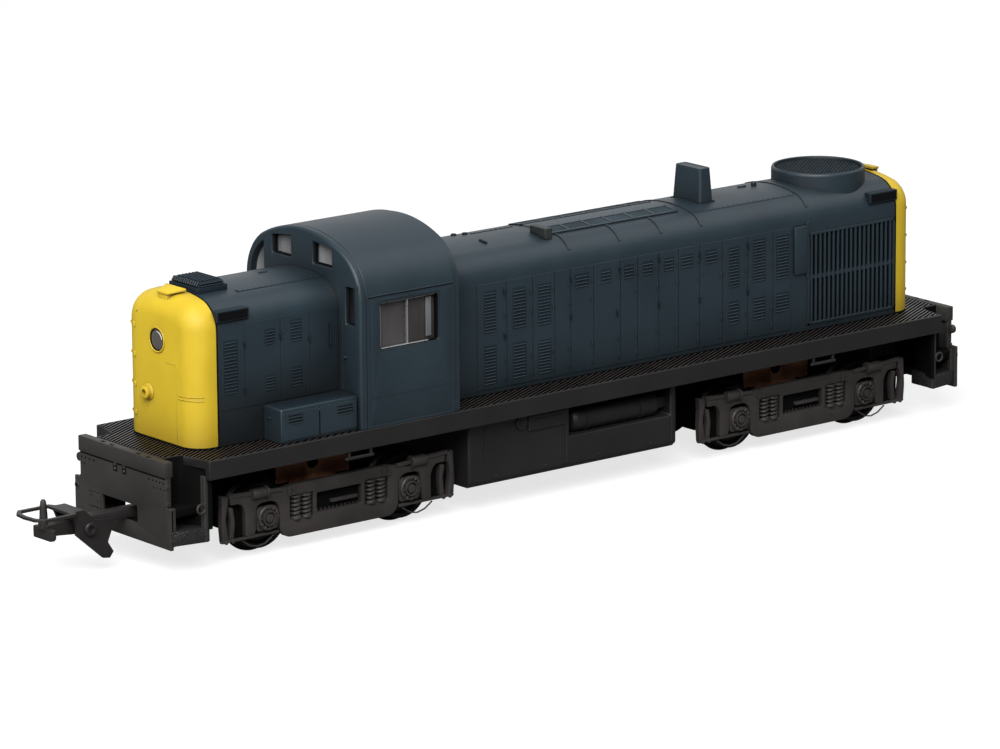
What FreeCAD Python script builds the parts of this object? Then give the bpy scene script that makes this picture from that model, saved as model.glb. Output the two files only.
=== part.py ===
"""HO scale model of a high-hood road-switcher diesel locomotive, one STEP file per piece.

Millimetres. +X runs towards the short hood and its coupler, +Y to the loco's left, +Z up.
Z = 0 is the floor under the wheel flanges. Everything is drawn with X = 0 midway between the
two truck pivots, and is moved along X at the end so that the origin is mid-length.
"""
import FreeCAD, Part
import math
import os

V = FreeCAD.Vector
Y_DIR, Z_DIR = V(0, 1, 0), V(0, 0, 1)
PAST = 1.0                   # how far a cutting tool reaches past what it cuts
NEAR = 0.01                  # for telling edges apart by their place

# ---------------------------------------------------------------- running gear
truck_overhang = 30.0        # from a truck's pivot to the deck's end
wheelbase = 30.2             # of one truck
tread_radius = 5.8
flange_height = 0.8
flange_thickness = 0.8
tread_width = 2.0
back_to_back = 14.4          # between the inner faces of a pair of wheels
axle_radius = 1.0
running_clearance = 0.05     # a shaft in its hole, on the radius
side_gap = 0.3               # between pieces that move past each other

# ---------------------------------------------------------------- deck and pilots
deck_above_axle = 13.05      # axle centre to the deck's top
deck_length = 165.0
deck_half_width = 16.4
deck_thickness = 1.6
fascia_height = 3.3
fascia_thickness = 1.2
well_length = 6.1            # from the deck's end to the pilot's face, where the steps are
well_half_width = 9.7        # what is left of the deck between two step wells
well_corner = 1.2
well_wall = 0.8
pilot_half_width = 13.0
pilot_thickness = 1.5
pilot_bottom = 4.75
beam_height = 2.65           # the buffer beam along the pilot's top
beam_proud = 0.35
flange_half_width = 15.0     # the pilot's lower part is wider
flange_sheet = 0.9
flange_top = 11.85
step_post = 1.0
step_post_width = 1.4
step_post_overlap = 0.9      # how far the post lies behind the deck's notch
tread_rise = 4.2             # from the lower step to the upper one
lower_tread_above = 2.55     # above the pilot's bottom
lower_tread_depth = 2.6
upper_tread_depth = 1.8
upper_tread_inset = 1.4
opening_y = (-6.2, 4.0)      # for the coupler's swing
opening_below = 1.2          # under the middle of the shank
opening_above = 1.8

# ---------------------------------------------------------------- hoods
hood_half_width = 10.2
hood_height = 25.55          # deck to the crown of the hood roof
hood_shoulder = 5.0          # radius between side and roof
hood_crown_radius = 27.6
hood_wall = 1.2
short_hood_length = 25.45
front_porch = 6.3            # from the short hood's front to the deck's end
rear_porch = 5.9
nose_depth = 4.7             # a yellow end, from the hood to its face
nose_bevel = 2.25            # its front edge is rounded off in three flats
nose_second_bevel = 0.8
porthole_radius = 1.85
porthole_below_crown = 8.0
porthole_depth = 1.0
lens_thickness = 0.6
brow_half_width = 2.5        # the headlight's hood
brow_length = 3.7
brow_sheet = 0.55
brow_rise = 0.3
brow_setback = 0.5           # behind the middle of the face
lamp_length = 1.7
lamp_height = 1.5
hinge_count = 4
hinge_first = 3.9
hinge_pitch = 5.05
hinge_y = (6.6, 8.8)
hinge_radius = 0.4
board_length = 6.6           # number boards on the shoulders
board_height = 1.9
board_below_crown = 2.2
board_proud = 0.3
vent_length = 6.2
vent_gap = 0.7               # from the vent box to the nose
vent_rise = 1.7
vent_half_width = 4.15
vent_slots = 6
vent_margin = 0.6
vent_bevel = 0.5

# ---------------------------------------------------------------- long hood's fittings
grille_length = 21.2
grille_gap = 0.3             # from the grille to the hood's end
grille_bottom = 1.1
grille_below_crown = 7.4
grille_depth = 0.7
grille_proud = 0.15
grille_rim = 0.5
bar_count = 18
bar_width = 0.5
cross_bar = 0.5
duct_length = 3.1            # upright duct cover ahead of the grille
duct_gap = 0.5
duct_bottom = 10.8
duct_proud = 0.5
fan_from_end = 10.0          # from the long hood's rear
fan_radius = 8.55
fan_wall = 0.6
fan_rise = 2.05
guard_depth = 0.4            # below the shroud's mouth
guard_ring = 0.5             # a bar's depth, and half the width of the one across
guard_bars = 4               # each side of the middle one
guard_bar_width = 0.35
stack_from_end = 40.0
stack_rise = 5.95
stack_foot = (3.2, 7.9)      # length and width at the crown's level
stack_head = (2.5, 6.9)
stack_wall = 0.45
stack_mouth_depth = 0.4
screen_gap = 8.1             # from the stack's middle
screen_pitch = 4.7
screen_count = 6
screen_inner = 2.3
screen_outer = 5.5
screen_rim = 0.4
screen_proud = 0.25
walkway_half_width = 1.7
walkway_proud = 0.15
horn_gap = 2.6               # from the screens
horn_length = 1.6
horn_y = (2.6, 7.0)
horn_rise = 1.1
door_bottom = 0.9
door_below_crown = 5.8
door_proud = 0.15
door_gap = 0.24
first_door_gap = 8.3         # from the cab's rear wall
last_door_gap = 0.3          # to the duct cover
DOOR_WIDTHS = [6.6, 5.8, 4.9, 3.6, 5.2, 6.1, 3.9, 4.9, 4.6, 4.9, 5.4, 5.9, 6.0, 4.4]
locker_length = 16.05
locker_half_width = 15.3
locker_height = 6.0
motor_length = 45.0
motor_gap = 14.3             # from the cab's rear wall
motor_half_width = 7.5
motor_height = 18.0

# ---------------------------------------------------------------- cab
cab_length = 21.45
cab_half_width = 16.3
cab_eave = 22.85             # deck to the seam under the roof panel
cab_height = 32.5            # deck to the crown of the cab roof
cab_shoulder = 9.1
cab_crown_radius = 26.0
cab_wall = 1.2
cab_end_wall_thickness = 1.35
cab_edge = 0.35              # chamfer along the front wall's edge
rear_wall_inset = 0.35       # the rear wall is a little smaller than the roof
side_window_ahead = 4.2      # from the window to the cab's front
side_window_behind = 4.8
side_window_sill = 13.35
side_window_height = 8.2
window_corner = 0.6
upper_window_y = (3.1, 8.5)
upper_window_height = 3.9
upper_window_below_crown = 1.85
tall_window_inner = 10.9
tall_window_height = 6.2     # below the eave
tall_window_margin = 1.45    # from the arch
door_window_y = (12.2, 14.7)
door_window_height = 6.5
door_window_below_crown = 8.2
glass_thickness = 0.5
glass_margin = 0.7

# ---------------------------------------------------------------- underframe
tank_to_front_pivot = 26.5
tank_to_rear_pivot = 31.7
tank_half_width = 14.0
tank_bottom = 4.7
tank_chamfer = 0.8
recess_front_gap = 22.0      # from the tank's front
recess_rear_gap = 1.2
recess_depth = 4.8
recess_height = 7.55
air_tank_radius = 2.2
air_tank_gap = 0.4           # from its side to the fuel tank's side
air_tank_end_gap = 1.7
pad_half = 3.4
kingpin_radius = 2.0
kingpin_engagement = 2.2
kingpin_room = 0.6           # above the pin's end
tower_below_deck = 2.6

# ---------------------------------------------------------------- trucks
gear_end = 3.5
gear_half_width = 3.6
gear_below = 3.2
gear_above = 2.6
tower_half_length = 5.2
tower_half_width = 4.3
bolster_half_length = 5.5
bolster_low = -0.6           # from the axle
bolster_high = 2.2
contact_half_length = 4.9
contact_sheet = 0.3
contact_hole_radius = 1.2
contact_hole = 5.75          # above the axle
frame_gap = 0.9              # from the wheel's outer face to the side frame
frame_thickness = 1.2
spring_radius = 0.9
spring_places = (6.9, 8.9)
spring_window = 9.9
spring_low = -0.9
spring_high = 2.5
spring_seat = 0.1
frame_post = (4.75, 5.5)
plank_low = -0.3
plank_high = 0.4
plank_thickness = 0.4
box_half_width = 2.1
box_low = -2.1
box_high = 2.3
box_proud = 0.3
cover_radius = 2.15
cover_proud = 0.75
brake_places = (15.3, 18.6)
brake_height = 4.55
brake_radius = 0.95
hanger_places = (23.2, 24.6)
hanger_low = -3.1
hanger_high = 5.0
rod_front = 13.6
rod_high = -2.55
rod_thickness = 0.6
FRAME_OUTLINE = [  # distance ahead of the pivot, height above the axle, corner radius
    (0.0, -4.2, 0), (12.6, -4.2, 2.4), (12.6, 2.4, 0), (17.9, 2.4, 0), (17.9, -2.6, 0),
    (19.7, -2.6, 0), (19.7, 3.5, 1.3), (22.6, 3.5, 0), (22.6, 2.6, 0), (23.7, 2.6, 0),
    (23.7, 5.2, 0), (19.0, 4.2, 0), (15.0, 3.7, 0), (10.0, 4.85, 0), (0.0, 4.85, 0),
]

# ---------------------------------------------------------------- coupler
coupler_height = 8.8         # floor to the middle of the shank
pivot_inset = 8.6            # from the pilot's face back to the pivot pin
pivot_gap = 0.15
pocket_reach = 3.2
pocket_half_width = 3.0
coupler_pin_radius = 1.2
washer_thickness = 0.6
washer_lip = 0.9
eye_wall = 1.0
shank_half_width = 1.1
shank_height = 1.6
head_start = 16.9            # from the pivot, as are the next three
hook_plate_end = 25.3
loop_pivot_at = 17.5
loop_tip_at = 28.7
head_half_width = 1.4
head_rise = (0.8, 0.7)       # at the rear and at the plate
head_drop = (2.0, 1.2)
plate_half_width = 2.9
plate_thickness = 0.8
plate_rise = 0.1
plate_drop = 2.0
hook_setback = 0.6
hook_height = 5.0
hook_radius = 0.6
loop_pivot_drop = 0.8        # below the middle of the shank
loop_pin_radius = 0.5
arm_inner = 2.3
arm_thickness = 0.6
loop_thickness = 0.5
loop_rise = 2.1
LOOP_PLAN = [                # ahead of the pivot pin, to one side; the loop's outside
    (18.5, 2.9), (20.3, 2.9), (21.0, 4.1), (27.2, 4.1), (28.4, 2.6), (28.7, 0.0),
]
LOOP_HOLE = [(21.6, 3.4), (26.8, 3.4), (27.7, 2.2), (27.95, 0.0)]
ARM_PROFILE = [              # ahead of and above the loop's own pivot
    (0.9, 3.2), (3.7, 3.2), (2.7, 0.9), (2.7, -0.8), (-0.9, -0.9), (-1.2, 1.3),
]
LEVER_PROFILE = [            # runs down and back from the left arm
    (-1.2, 1.3), (2.7, -0.8), (-2.6, -5.5), (-3.9, -5.7), (-4.7, -4.7), (-3.6, -2.9), (-5.2, 0.9),
]

# ---------------------------------------------------------------- worked out from them
axle_z = flange_height + tread_radius
deck_z = axle_z + deck_above_axle
deck_under = deck_z - deck_thickness
fascia_bottom = deck_z - fascia_height
deck_end = deck_length / 2
short_hood_front = deck_end - front_porch
long_hood_rear = rear_porch - deck_end
cab_front = short_hood_front - short_hood_length
cab_rear = cab_front - cab_length
pilot_face_x = deck_end + well_length
pilot_back_x = pilot_face_x - pilot_thickness
hood_crown_z = deck_z + hood_height
nose_front = short_hood_front + nose_depth
cab_crown_z = deck_z + cab_height
eave_z = deck_z + cab_eave
roof_span = (cab_rear + cab_end_wall_thickness, cab_front - cab_end_wall_thickness)
grille_x = (long_hood_rear + grille_gap, long_hood_rear + grille_gap + grille_length)
grille_z = (deck_z + grille_bottom, hood_crown_z - grille_below_crown)
door_z = (deck_z + door_bottom, hood_crown_z - door_below_crown)
tower_top = deck_under - tower_below_deck
pad_bottom = tower_top + side_gap
bolster_z = (axle_z + bolster_low, axle_z + bolster_high)
wheel_outer = back_to_back / 2 + flange_thickness + tread_width
frame_inner = wheel_outer + frame_gap
frame_outer = frame_inner + frame_thickness
coupler_pivot_x = pilot_face_x - pivot_inset
loop_pivot_x = coupler_pivot_x + loop_pivot_at
loop_tip_x = coupler_pivot_x + loop_tip_at
loop_pivot_z = coupler_height - loop_pivot_drop
overall_middle = (loop_tip_x - pilot_face_x - beam_proud) / 2
pivot_x = deck_end - truck_overhang
fan_x = long_hood_rear + fan_from_end
stack_x = long_hood_rear + stack_from_end
screen_x = (stack_x + screen_gap, stack_x + screen_gap + screen_count * screen_pitch)
horn_x = screen_x[1] + horn_gap
side_window_x = (cab_rear + side_window_behind, cab_front - side_window_ahead)
tank_x = (tank_to_rear_pivot - pivot_x, pivot_x - tank_to_front_pivot)
recess_x = (tank_x[0] + recess_rear_gap, tank_x[1] - recess_front_gap)
duct_rear = grille_x[1] + duct_gap
door_row = (cab_rear - first_door_gap, duct_rear + duct_length + last_door_gap)
TRUCKS = {"front": pivot_x, "rear": -pivot_x}
SIDES = {"left": 1, "right": -1}


# ---------------------------------------------------------------- small helpers
def box(x, y, z):
    """A block between the two values given for each axis."""
    return Part.makeBox(x[1] - x[0], y[1] - y[0], z[1] - z[0], V(x[0], y[0], z[0]))


def across(side, inner, outer):
    """The two y values of a piece between two distances from the middle, on one side."""
    return sorted((side * inner, side * outer))


def rod(start, end, radius):
    """A cylinder from one point to another."""
    start, end = V(*start), V(*end)
    along = end - start
    return Part.makeCylinder(radius, along.Length, start, along)


def outline_face(corners, place):
    """A flat face from corners (a, b) or (a, b, radius), put in space by a function."""
    corners = [tuple(c) + (0,) * (3 - len(c)) for c in corners]
    edges, previous = [], None
    first = None
    for n, (a, b, radius) in enumerate(corners):
        here = V(a, b, 0)
        if radius:
            before, after = corners[n - 1], corners[(n + 1) % len(corners)]
            back = (V(before[0], before[1], 0) - here).normalize()
            ahead = (V(after[0], after[1], 0) - here).normalize()
            half = back.getAngle(ahead) / 2
            reach = radius / math.tan(half)
            centre = here + (back + ahead).normalize() * (radius / math.sin(half))
            start, end = here + back * reach, here + ahead * reach
            middle = centre + (here - centre).normalize() * radius
        else:
            start = end = here
        if previous is not None:
            edges.append(Part.LineSegment(place(previous), place(start)))
        if radius:
            edges.append(Part.Arc(place(start), place(middle), place(end)))
        first = start if first is None else first
        previous = end
    edges.append(Part.LineSegment(place(previous), place(first)))
    return Part.Face(Part.Wire([e.toShape() for e in edges]))


def plate_x(corners, x):
    """An outline of (y, z) corners, between two values of x."""
    return outline_face(corners, lambda p: V(x[0], p.x, p.y)).extrude(V(x[1] - x[0], 0, 0))


def plate_y(corners, y):
    """An outline of (x, z) corners, between two values of y."""
    return outline_face(corners, lambda p: V(p.x, y[0], p.y)).extrude(V(0, y[1] - y[0], 0))


def plate_z(corners, z):
    """An outline of (x, y) corners, between two values of z."""
    return outline_face(corners, lambda p: V(p.x, p.y, z[0])).extrude(V(0, 0, z[1] - z[0]))


def joined(shapes):
    """One shape from pieces that touch or overlap."""
    return shapes[0].fuse(shapes[1:]).removeSplitter()


def mirrored(shape):
    """The shape on the loco's other side."""
    return shape.mirror(V(0, 0, 0), Y_DIR)


def on_both_sides(shape):
    """The shape and its mirror image across the loco's length."""
    return [shape, mirrored(shape)]


def at_end(shape, end, front_x, rear_x):
    """A piece drawn at the front, or turned round for the rear with its own place in x."""
    if end == "front":
        return shape
    turned = shape.rotate(V(0, 0, 0), Z_DIR, 180)
    turned.translate(V(front_x + rear_x, 0, 0))
    return turned


def edges_at(shape, x):
    """The edges that lie at one x, apart from any along the deck."""
    return [e for e in shape.Edges if abs(e.BoundBox.XMin - x) < NEAR
            and abs(e.BoundBox.XMax - x) < NEAR and e.BoundBox.ZMax > deck_z + NEAR]


def save(name, shape):
    """Write a node's STEP file, with X measured from mid-length."""
    shape = shape.copy()
    shape.translate(V(-overall_middle, 0, 0))
    assert shape.isValid(), name
    shape.exportStep("parts/%s.step" % name)


def arch_face(half_width, crown, shoulder, crown_radius, bottom, place):
    """Straight sides, round shoulders and a crowned top, all tangent, put in space by place."""
    inner = half_width - shoulder
    centre = crown - crown_radius
    side_top = centre + math.sqrt((crown_radius - shoulder) ** 2 - inner ** 2)
    turn = math.atan2(inner, side_top - centre)
    bend = (math.pi / 2 + turn) / 2
    touch = (crown_radius * math.sin(turn), centre + crown_radius * math.cos(turn))
    middle = (inner + shoulder * math.sin(bend), side_top + shoulder * math.cos(bend))

    def point(side, across_h):
        return place(side * across_h[0], across_h[1])
    foot, top = (half_width, bottom), (half_width, side_top)
    edges = [
        Part.LineSegment(point(-1, foot), point(1, foot)),
        Part.LineSegment(point(1, foot), point(1, top)),
        Part.Arc(point(1, top), point(1, middle), point(1, touch)),
        Part.Arc(point(1, touch), place(0, crown), point(-1, touch)),
        Part.Arc(point(-1, touch), point(-1, middle), point(-1, top)),
        Part.LineSegment(point(-1, top), point(-1, foot)),
    ]
    return Part.Face(Part.Wire([e.toShape() for e in edges]))


def hood_solid(x, inset=0.0, bottom=None):
    """A length of hood; an inset gives the space inside its walls, or a skin outside them."""
    face = arch_face(hood_half_width - inset, hood_crown_z - inset, hood_shoulder - inset,
                     hood_crown_radius - inset, deck_z if bottom is None else bottom,
                     lambda y, z: V(x[0], y, z))
    return face.extrude(V(x[1] - x[0], 0, 0))


def hood_shell(x):
    """A hood open below, with a wall at both ends."""
    inside = hood_solid((x[0] + hood_wall, x[1] - hood_wall), hood_wall, deck_z - PAST)
    return hood_solid(x).cut(inside)


def whole_hood():
    """Everything under the hood's roof, to trim what stands on it."""
    return hood_solid((long_hood_rear - PAST, nose_front))


def cab_solid(x, inset=0.0, bottom=None):
    """A length of the cab's outside form, or with an inset the space inside."""
    face = arch_face(cab_half_width - inset, cab_crown_z - inset, cab_shoulder - inset,
                     cab_crown_radius - inset, deck_z if bottom is None else bottom,
                     lambda y, z: V(x[0], y, z))
    return face.extrude(V(x[1] - x[0], 0, 0))


# ---------------------------------------------------------------- deck and pilots
def deck():
    """Walkway plate with its fascias and truck pads, notched at the corners for the steps."""
    half = deck_half_width
    plate = box((-pilot_back_x, pilot_back_x), (-half, half), (deck_under, deck_z))
    fascia = box((-deck_end, deck_end), (half - fascia_thickness, half),
                 (fascia_bottom, deck_under))
    pads = [box((x - pad_half, x + pad_half), (-pad_half, pad_half), (pad_bottom, deck_under))
            for x in TRUCKS.values()]
    shape = joined([plate] + on_both_sides(fascia) + pads)
    tools = []
    for end in (1, -1):
        for side in (1, -1):
            corner = [(deck_end, half + PAST), (deck_end, half - fascia_thickness),
                      (deck_end + well_corner, well_half_width),
                      (pilot_face_x + PAST, well_half_width), (pilot_face_x + PAST, half + PAST)]
            tools.append(plate_z([(end * x, side * y) for x, y in corner],
                                 (fascia_bottom - PAST, deck_z + PAST)))
    pin_top = pad_bottom + kingpin_engagement + kingpin_room
    for x in TRUCKS.values():
        tools.append(rod((x, 0, pad_bottom - PAST), (x, 0, pin_top),
                         kingpin_radius + running_clearance))
    return shape.cut(tools)


def pilot(end):
    """End plate with its beam, the coupler's opening and a step well on each side."""
    back, face = pilot_back_x, pilot_face_x
    post_x = deck_end - step_post_overlap
    lower = pilot_bottom + lower_tread_above
    pieces = [
        box((back, face), (-pilot_half_width, pilot_half_width), (pilot_bottom, deck_z)),
        box((face - flange_sheet, face), (-flange_half_width, flange_half_width),
            (pilot_bottom, flange_top)),
        box((face, face + beam_proud), (-pilot_half_width, pilot_half_width),
            (deck_z - beam_height, deck_z)),
    ]
    treads = [(lower, flange_half_width, lower_tread_depth),
              (lower + tread_rise, flange_half_width - upper_tread_inset, upper_tread_depth)]
    for side in (1, -1):
        inner_wall = across(side, well_half_width - well_wall, well_half_width)
        pieces.append(box((deck_end + well_corner, back), inner_wall, (lower, deck_under)))
        post = across(side, flange_half_width - step_post_width, flange_half_width)
        pieces.append(box((post_x, post_x + step_post), post,
                          (lower - lower_tread_depth, deck_under)))
        for top, reach, depth in treads:
            pieces.append(box((post_x, back + well_wall), across(side, well_half_width - well_wall,
                                                                 reach), (top - depth, top)))
    opening = box((back - PAST, face + PAST), opening_y,
                  (coupler_height - opening_below, coupler_height + opening_above))
    return at_end(joined(pieces).cut(opening), end, 0, 0)


def coupler_pocket(end):
    """Block under the deck with the coupler's pivot pin; a washer where a coupler is fitted."""
    x = coupler_pivot_x
    low = coupler_height - shank_height / 2 - pivot_gap
    high = coupler_height + shank_height / 2 + pivot_gap
    pieces = [
        box((x - pocket_reach, x + pocket_reach), (-pocket_half_width, pocket_half_width),
            (high, deck_under)),
        rod((x, 0, low), (x, 0, high), coupler_pin_radius),
    ]
    if end == "front":
        pieces.append(rod((x, 0, low - washer_thickness), (x, 0, low),
                          coupler_pin_radius + washer_lip))
    return at_end(joined(pieces), end, 0, 0)


# ---------------------------------------------------------------- hoods
def nose(end):
    """Yellow hood end with rounded edges, a lamp under a brow, a porthole and hinges."""
    body = hood_solid((short_hood_front, nose_front))
    body = body.makeChamfer(nose_bevel, edges_at(body, nose_front))
    edges = edges_at(body, nose_front) + edges_at(body, nose_front - nose_bevel)
    body = body.makeChamfer(nose_second_bevel, edges)
    z = hood_crown_z - porthole_below_crown
    porthole = rod((nose_front - porthole_depth, 0, z), (nose_front + PAST, 0, z), porthole_radius)
    tip = nose_front - brow_setback
    brow_top = hood_crown_z + brow_rise
    brow = plate_y([(tip, brow_top - brow_sheet - brow_rise), (tip, brow_top - brow_rise),
                    (tip - brow_length, brow_top), (tip - brow_length, brow_top - brow_sheet)],
                   (-brow_half_width, brow_half_width))
    lamp = box((tip - lamp_length, tip), (-brow_half_width, brow_half_width),
               (brow_top - brow_rise - lamp_height, brow_top - brow_rise - brow_sheet / 2))
    pieces = [body, brow, lamp]
    hinge_x = nose_front - hood_half_width + hinge_y[1]
    for step in range(hinge_count):
        z = deck_z + hinge_first + step * hinge_pitch
        pieces.append(box((hinge_x - PAST, nose_front), (-hinge_y[1], -hinge_y[0]),
                          (z - hinge_radius, z + hinge_radius)))
    return at_end(joined(pieces).cut(porthole), end, short_hood_front, long_hood_rear)


def porthole_lens(end):
    """Clear round light set back in the nose."""
    x, z = nose_front - porthole_depth, hood_crown_z - porthole_below_crown
    lens = rod((x, 0, z), (x + lens_thickness, 0, z), porthole_radius)
    return at_end(lens, end, short_hood_front, long_hood_rear)


def long_hood():
    """Engine hood with the recesses that the radiator grilles lie in."""
    recess = box(grille_x, (hood_half_width - grille_depth, hood_half_width + PAST), grille_z)
    return hood_shell((long_hood_rear, cab_rear)).cut(on_both_sides(recess))


def number_boards(end):
    """A blank board on each shoulder beside the nose."""
    top = hood_crown_z - board_below_crown
    outside = box((short_hood_front - board_length, short_hood_front),
                  (hood_half_width - hood_shoulder, hood_half_width + board_proud),
                  (top - board_height, top))
    boards = Part.makeCompound(on_both_sides(outside.cut(whole_hood())))
    return at_end(boards, end, short_hood_front, long_hood_rear)


def radiator_grille(side):
    """Frame with upright bars and one cross bar, set in the hood's side."""
    inner, outer = hood_half_width - grille_depth, hood_half_width + grille_proud
    frame = box(grille_x, (inner, outer), grille_z)
    hole_x = (grille_x[0] + grille_rim, grille_x[1] - grille_rim)
    hole_z = (grille_z[0] + grille_rim, grille_z[1] - grille_rim)
    hole = box(hole_x, (inner - PAST, outer + PAST), hole_z)
    pitch = (hole_x[1] - hole_x[0] + bar_width) / (bar_count + 1)
    bars = []
    for n in range(1, bar_count + 1):
        x = hole_x[0] - bar_width / 2 + n * pitch
        bars.append(box((x - bar_width / 2, x + bar_width / 2), (inner, outer), hole_z))
    middle = (grille_z[0] + grille_z[1]) / 2
    bars.append(box(hole_x, (inner, outer - grille_proud),
                    (middle - cross_bar / 2, middle + cross_bar / 2)))
    shape = joined([frame.cut(hole)] + bars)
    return shape if side == "left" else mirrored(shape)


def fan_shroud():
    """Round shroud over the radiator fan, cut to the roof's curve."""
    low, high = hood_crown_z - hood_shoulder, hood_crown_z + fan_rise
    ring = rod((fan_x, 0, low), (fan_x, 0, high), fan_radius)
    bore = rod((fan_x, 0, low - PAST), (fan_x, 0, high + PAST), fan_radius - fan_wall)
    return ring.cut([bore, whole_hood()])


def fan_guard():
    """Parallel bars inside the shroud's mouth on one bar across, held by their ends."""
    high = hood_crown_z + fan_rise - guard_depth
    low = high - guard_ring
    radius = fan_radius - fan_wall
    half = guard_bar_width / 2
    pieces = [box((fan_x - guard_ring, fan_x + guard_ring), (-radius, radius),
                  (low - guard_ring, low))]
    for n in range(-guard_bars, guard_bars + 1):
        y = n * radius / (guard_bars + 1)
        reach = math.sqrt(radius ** 2 - (abs(y) + half) ** 2)
        pieces.append(box((fan_x - reach, fan_x + reach), (y - half, y + half), (low, high)))
    return joined(pieces)


def exhaust_stack():
    """Tapered stack with an open mouth, seated on the roof."""
    low, high = hood_crown_z - PAST, hood_crown_z + stack_rise
    (foot_l, foot_w), (head_l, head_w) = stack_foot, stack_head
    lengthwise = plate_y([(stack_x - foot_l / 2, low), (stack_x + foot_l / 2, low),
                          (stack_x + head_l / 2, high), (stack_x - head_l / 2, high)],
                         (-foot_w, foot_w))
    crosswise = plate_x([(-foot_w / 2, low), (foot_w / 2, low), (head_w / 2, high),
                         (-head_w / 2, high)], (stack_x - foot_l, stack_x + foot_l))
    half_l, half_w = head_l / 2 - stack_wall, head_w / 2 - stack_wall
    mouth = box((stack_x - half_l, stack_x + half_l), (-half_w, half_w),
                (high - stack_mouth_depth, high + PAST))
    return lengthwise.common(crosswise).cut([mouth, whole_hood()])


def vent_box():
    """Slotted box on the short hood's roof."""
    low, high = hood_crown_z - PAST, hood_crown_z + vent_rise
    front = short_hood_front - vent_gap
    rear = front - vent_length
    side = high - 2 * vent_bevel
    body = plate_y([(rear, low), (front, low), (front, side), (front - vent_bevel, high),
                    (rear + vent_bevel, high), (rear, side)], (-vent_half_width, vent_half_width))
    pitch = (vent_length - 2 * vent_bevel - vent_margin) / vent_slots
    slots = []
    for n in range(vent_slots):
        x = rear + vent_bevel + vent_margin + n * pitch
        slots.append(box((x, x + pitch / 2),
                         (-vent_half_width + vent_margin, vent_half_width - vent_margin),
                         (high - vent_bevel, high + PAST)))
    return body.cut(slots + [whole_hood()])


def roof_screens():
    """Screen frames along both sides of the roof and a tread strip between them."""
    roof = whole_hood()
    skin = hood_solid(screen_x, -screen_proud)
    top = hood_crown_z + PAST
    low = hood_crown_z - hood_shoulder
    frames = skin.common(box(screen_x, (screen_inner, screen_outer), (low, top)))
    cells = []
    for n in range(screen_count):
        x = screen_x[0] + n * screen_pitch
        cells.append(box((x + screen_rim, x + screen_pitch - screen_rim),
                         (screen_inner + screen_rim, screen_outer - screen_rim), (low, top)))
    frames = frames.cut(cells + [roof])
    strip = hood_solid(screen_x, -walkway_proud)
    strip = strip.common(box(screen_x, (-walkway_half_width, walkway_half_width), (low, top)))
    strip = strip.cut(roof)
    return Part.makeCompound(on_both_sides(frames) + [strip])


def horn_box():
    """Small housing across the roof in front of the screens."""
    body = box((horn_x - horn_length / 2, horn_x + horn_length / 2), horn_y,
               (hood_crown_z - hood_shoulder, hood_crown_z + horn_rise))
    return body.cut(whole_hood())


def engine_doors(side):
    """Row of doors lying on the long hood's side, and the duct cover beside the grille."""
    pieces = []
    share = (door_row[0] - door_row[1]) / sum(DOOR_WIDTHS)
    front = door_row[0]
    for width in DOOR_WIDTHS:
        rear = front - width * share
        pieces.append(box((rear + door_gap / 2, front - door_gap / 2),
                          (hood_half_width, hood_half_width + door_proud), door_z))
        front = rear
    pieces.append(box((duct_rear, duct_rear + duct_length),
                      (hood_half_width, hood_half_width + duct_proud),
                      (deck_z + duct_bottom, door_z[1])))
    shape = Part.makeCompound(pieces)
    return shape if side == "left" else mirrored(shape)


def locker(side):
    """Battery locker on the deck beside the short hood."""
    body = box((cab_front, cab_front + locker_length), (hood_half_width, locker_half_width),
               (deck_z, deck_z + locker_height))
    return body if side == "left" else mirrored(body)


# ---------------------------------------------------------------- cab
def window_tools(x, door_side):
    """A cab end's openings: two high ones, a door's light and a tall one under the arch."""
    head = cab_crown_z - upper_window_below_crown
    tools = []
    for side in (1, -1):
        inner, outer = upper_window_y
        tools.append(plate_x([(side * inner, head - upper_window_height),
                              (side * outer, head - upper_window_height),
                              (side * outer, head - window_corner),
                              (side * inner, head)], x))
    head = cab_crown_z - door_window_below_crown
    tools.append(box(x, across(door_side, *door_window_y), (head - door_window_height, head)))
    tall = box(x, across(-door_side, tall_window_inner, cab_half_width),
               (eave_z - tall_window_height, cab_crown_z))
    tools.append(tall.common(cab_solid(x, tall_window_margin)))
    return tools


def cab_end_wall(end):
    """Front or rear wall of the cab with its windows cut."""
    front = end == "front"
    if front:
        x = (cab_front - cab_end_wall_thickness, cab_front)
        wall = cab_solid(x)
        wall = wall.makeChamfer(cab_edge, edges_at(wall, cab_front))
    else:
        x = (cab_rear, cab_rear + cab_end_wall_thickness)
        wall = cab_solid(x, rear_wall_inset)
    return wall.cut(window_tools((x[0] - PAST, x[1] + PAST), 1 if front else -1))


def cab_side(side):
    """Side wall of the cab below the eave, with its window cut."""
    wall = cab_solid(roof_span).cut(cab_solid((roof_span[0] - PAST, roof_span[1] + PAST),
                                              cab_wall, deck_z - PAST))
    half = box(roof_span, (0, cab_half_width + PAST), (deck_z, eave_z))
    sill = deck_z + side_window_sill
    rear, front = side_window_x
    hole = plate_y([(rear, sill, window_corner), (front, sill, window_corner),
                    (front, sill + side_window_height, window_corner),
                    (rear, sill + side_window_height, window_corner)],
                   (cab_half_width - cab_wall - PAST, cab_half_width + PAST))
    shape = wall.common(half).cut(hole)
    return shape if side == "left" else mirrored(shape)


def cab_roof():
    """Arched roof panel between the end walls, above the eaves."""
    inside = cab_solid((roof_span[0] - PAST, roof_span[1] + PAST), cab_wall, deck_z - PAST)
    below = box((roof_span[0] - PAST, roof_span[1] + PAST),
                (-cab_half_width - PAST, cab_half_width + PAST), (deck_z - PAST, eave_z))
    return cab_solid(roof_span).cut([inside, below])


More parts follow.
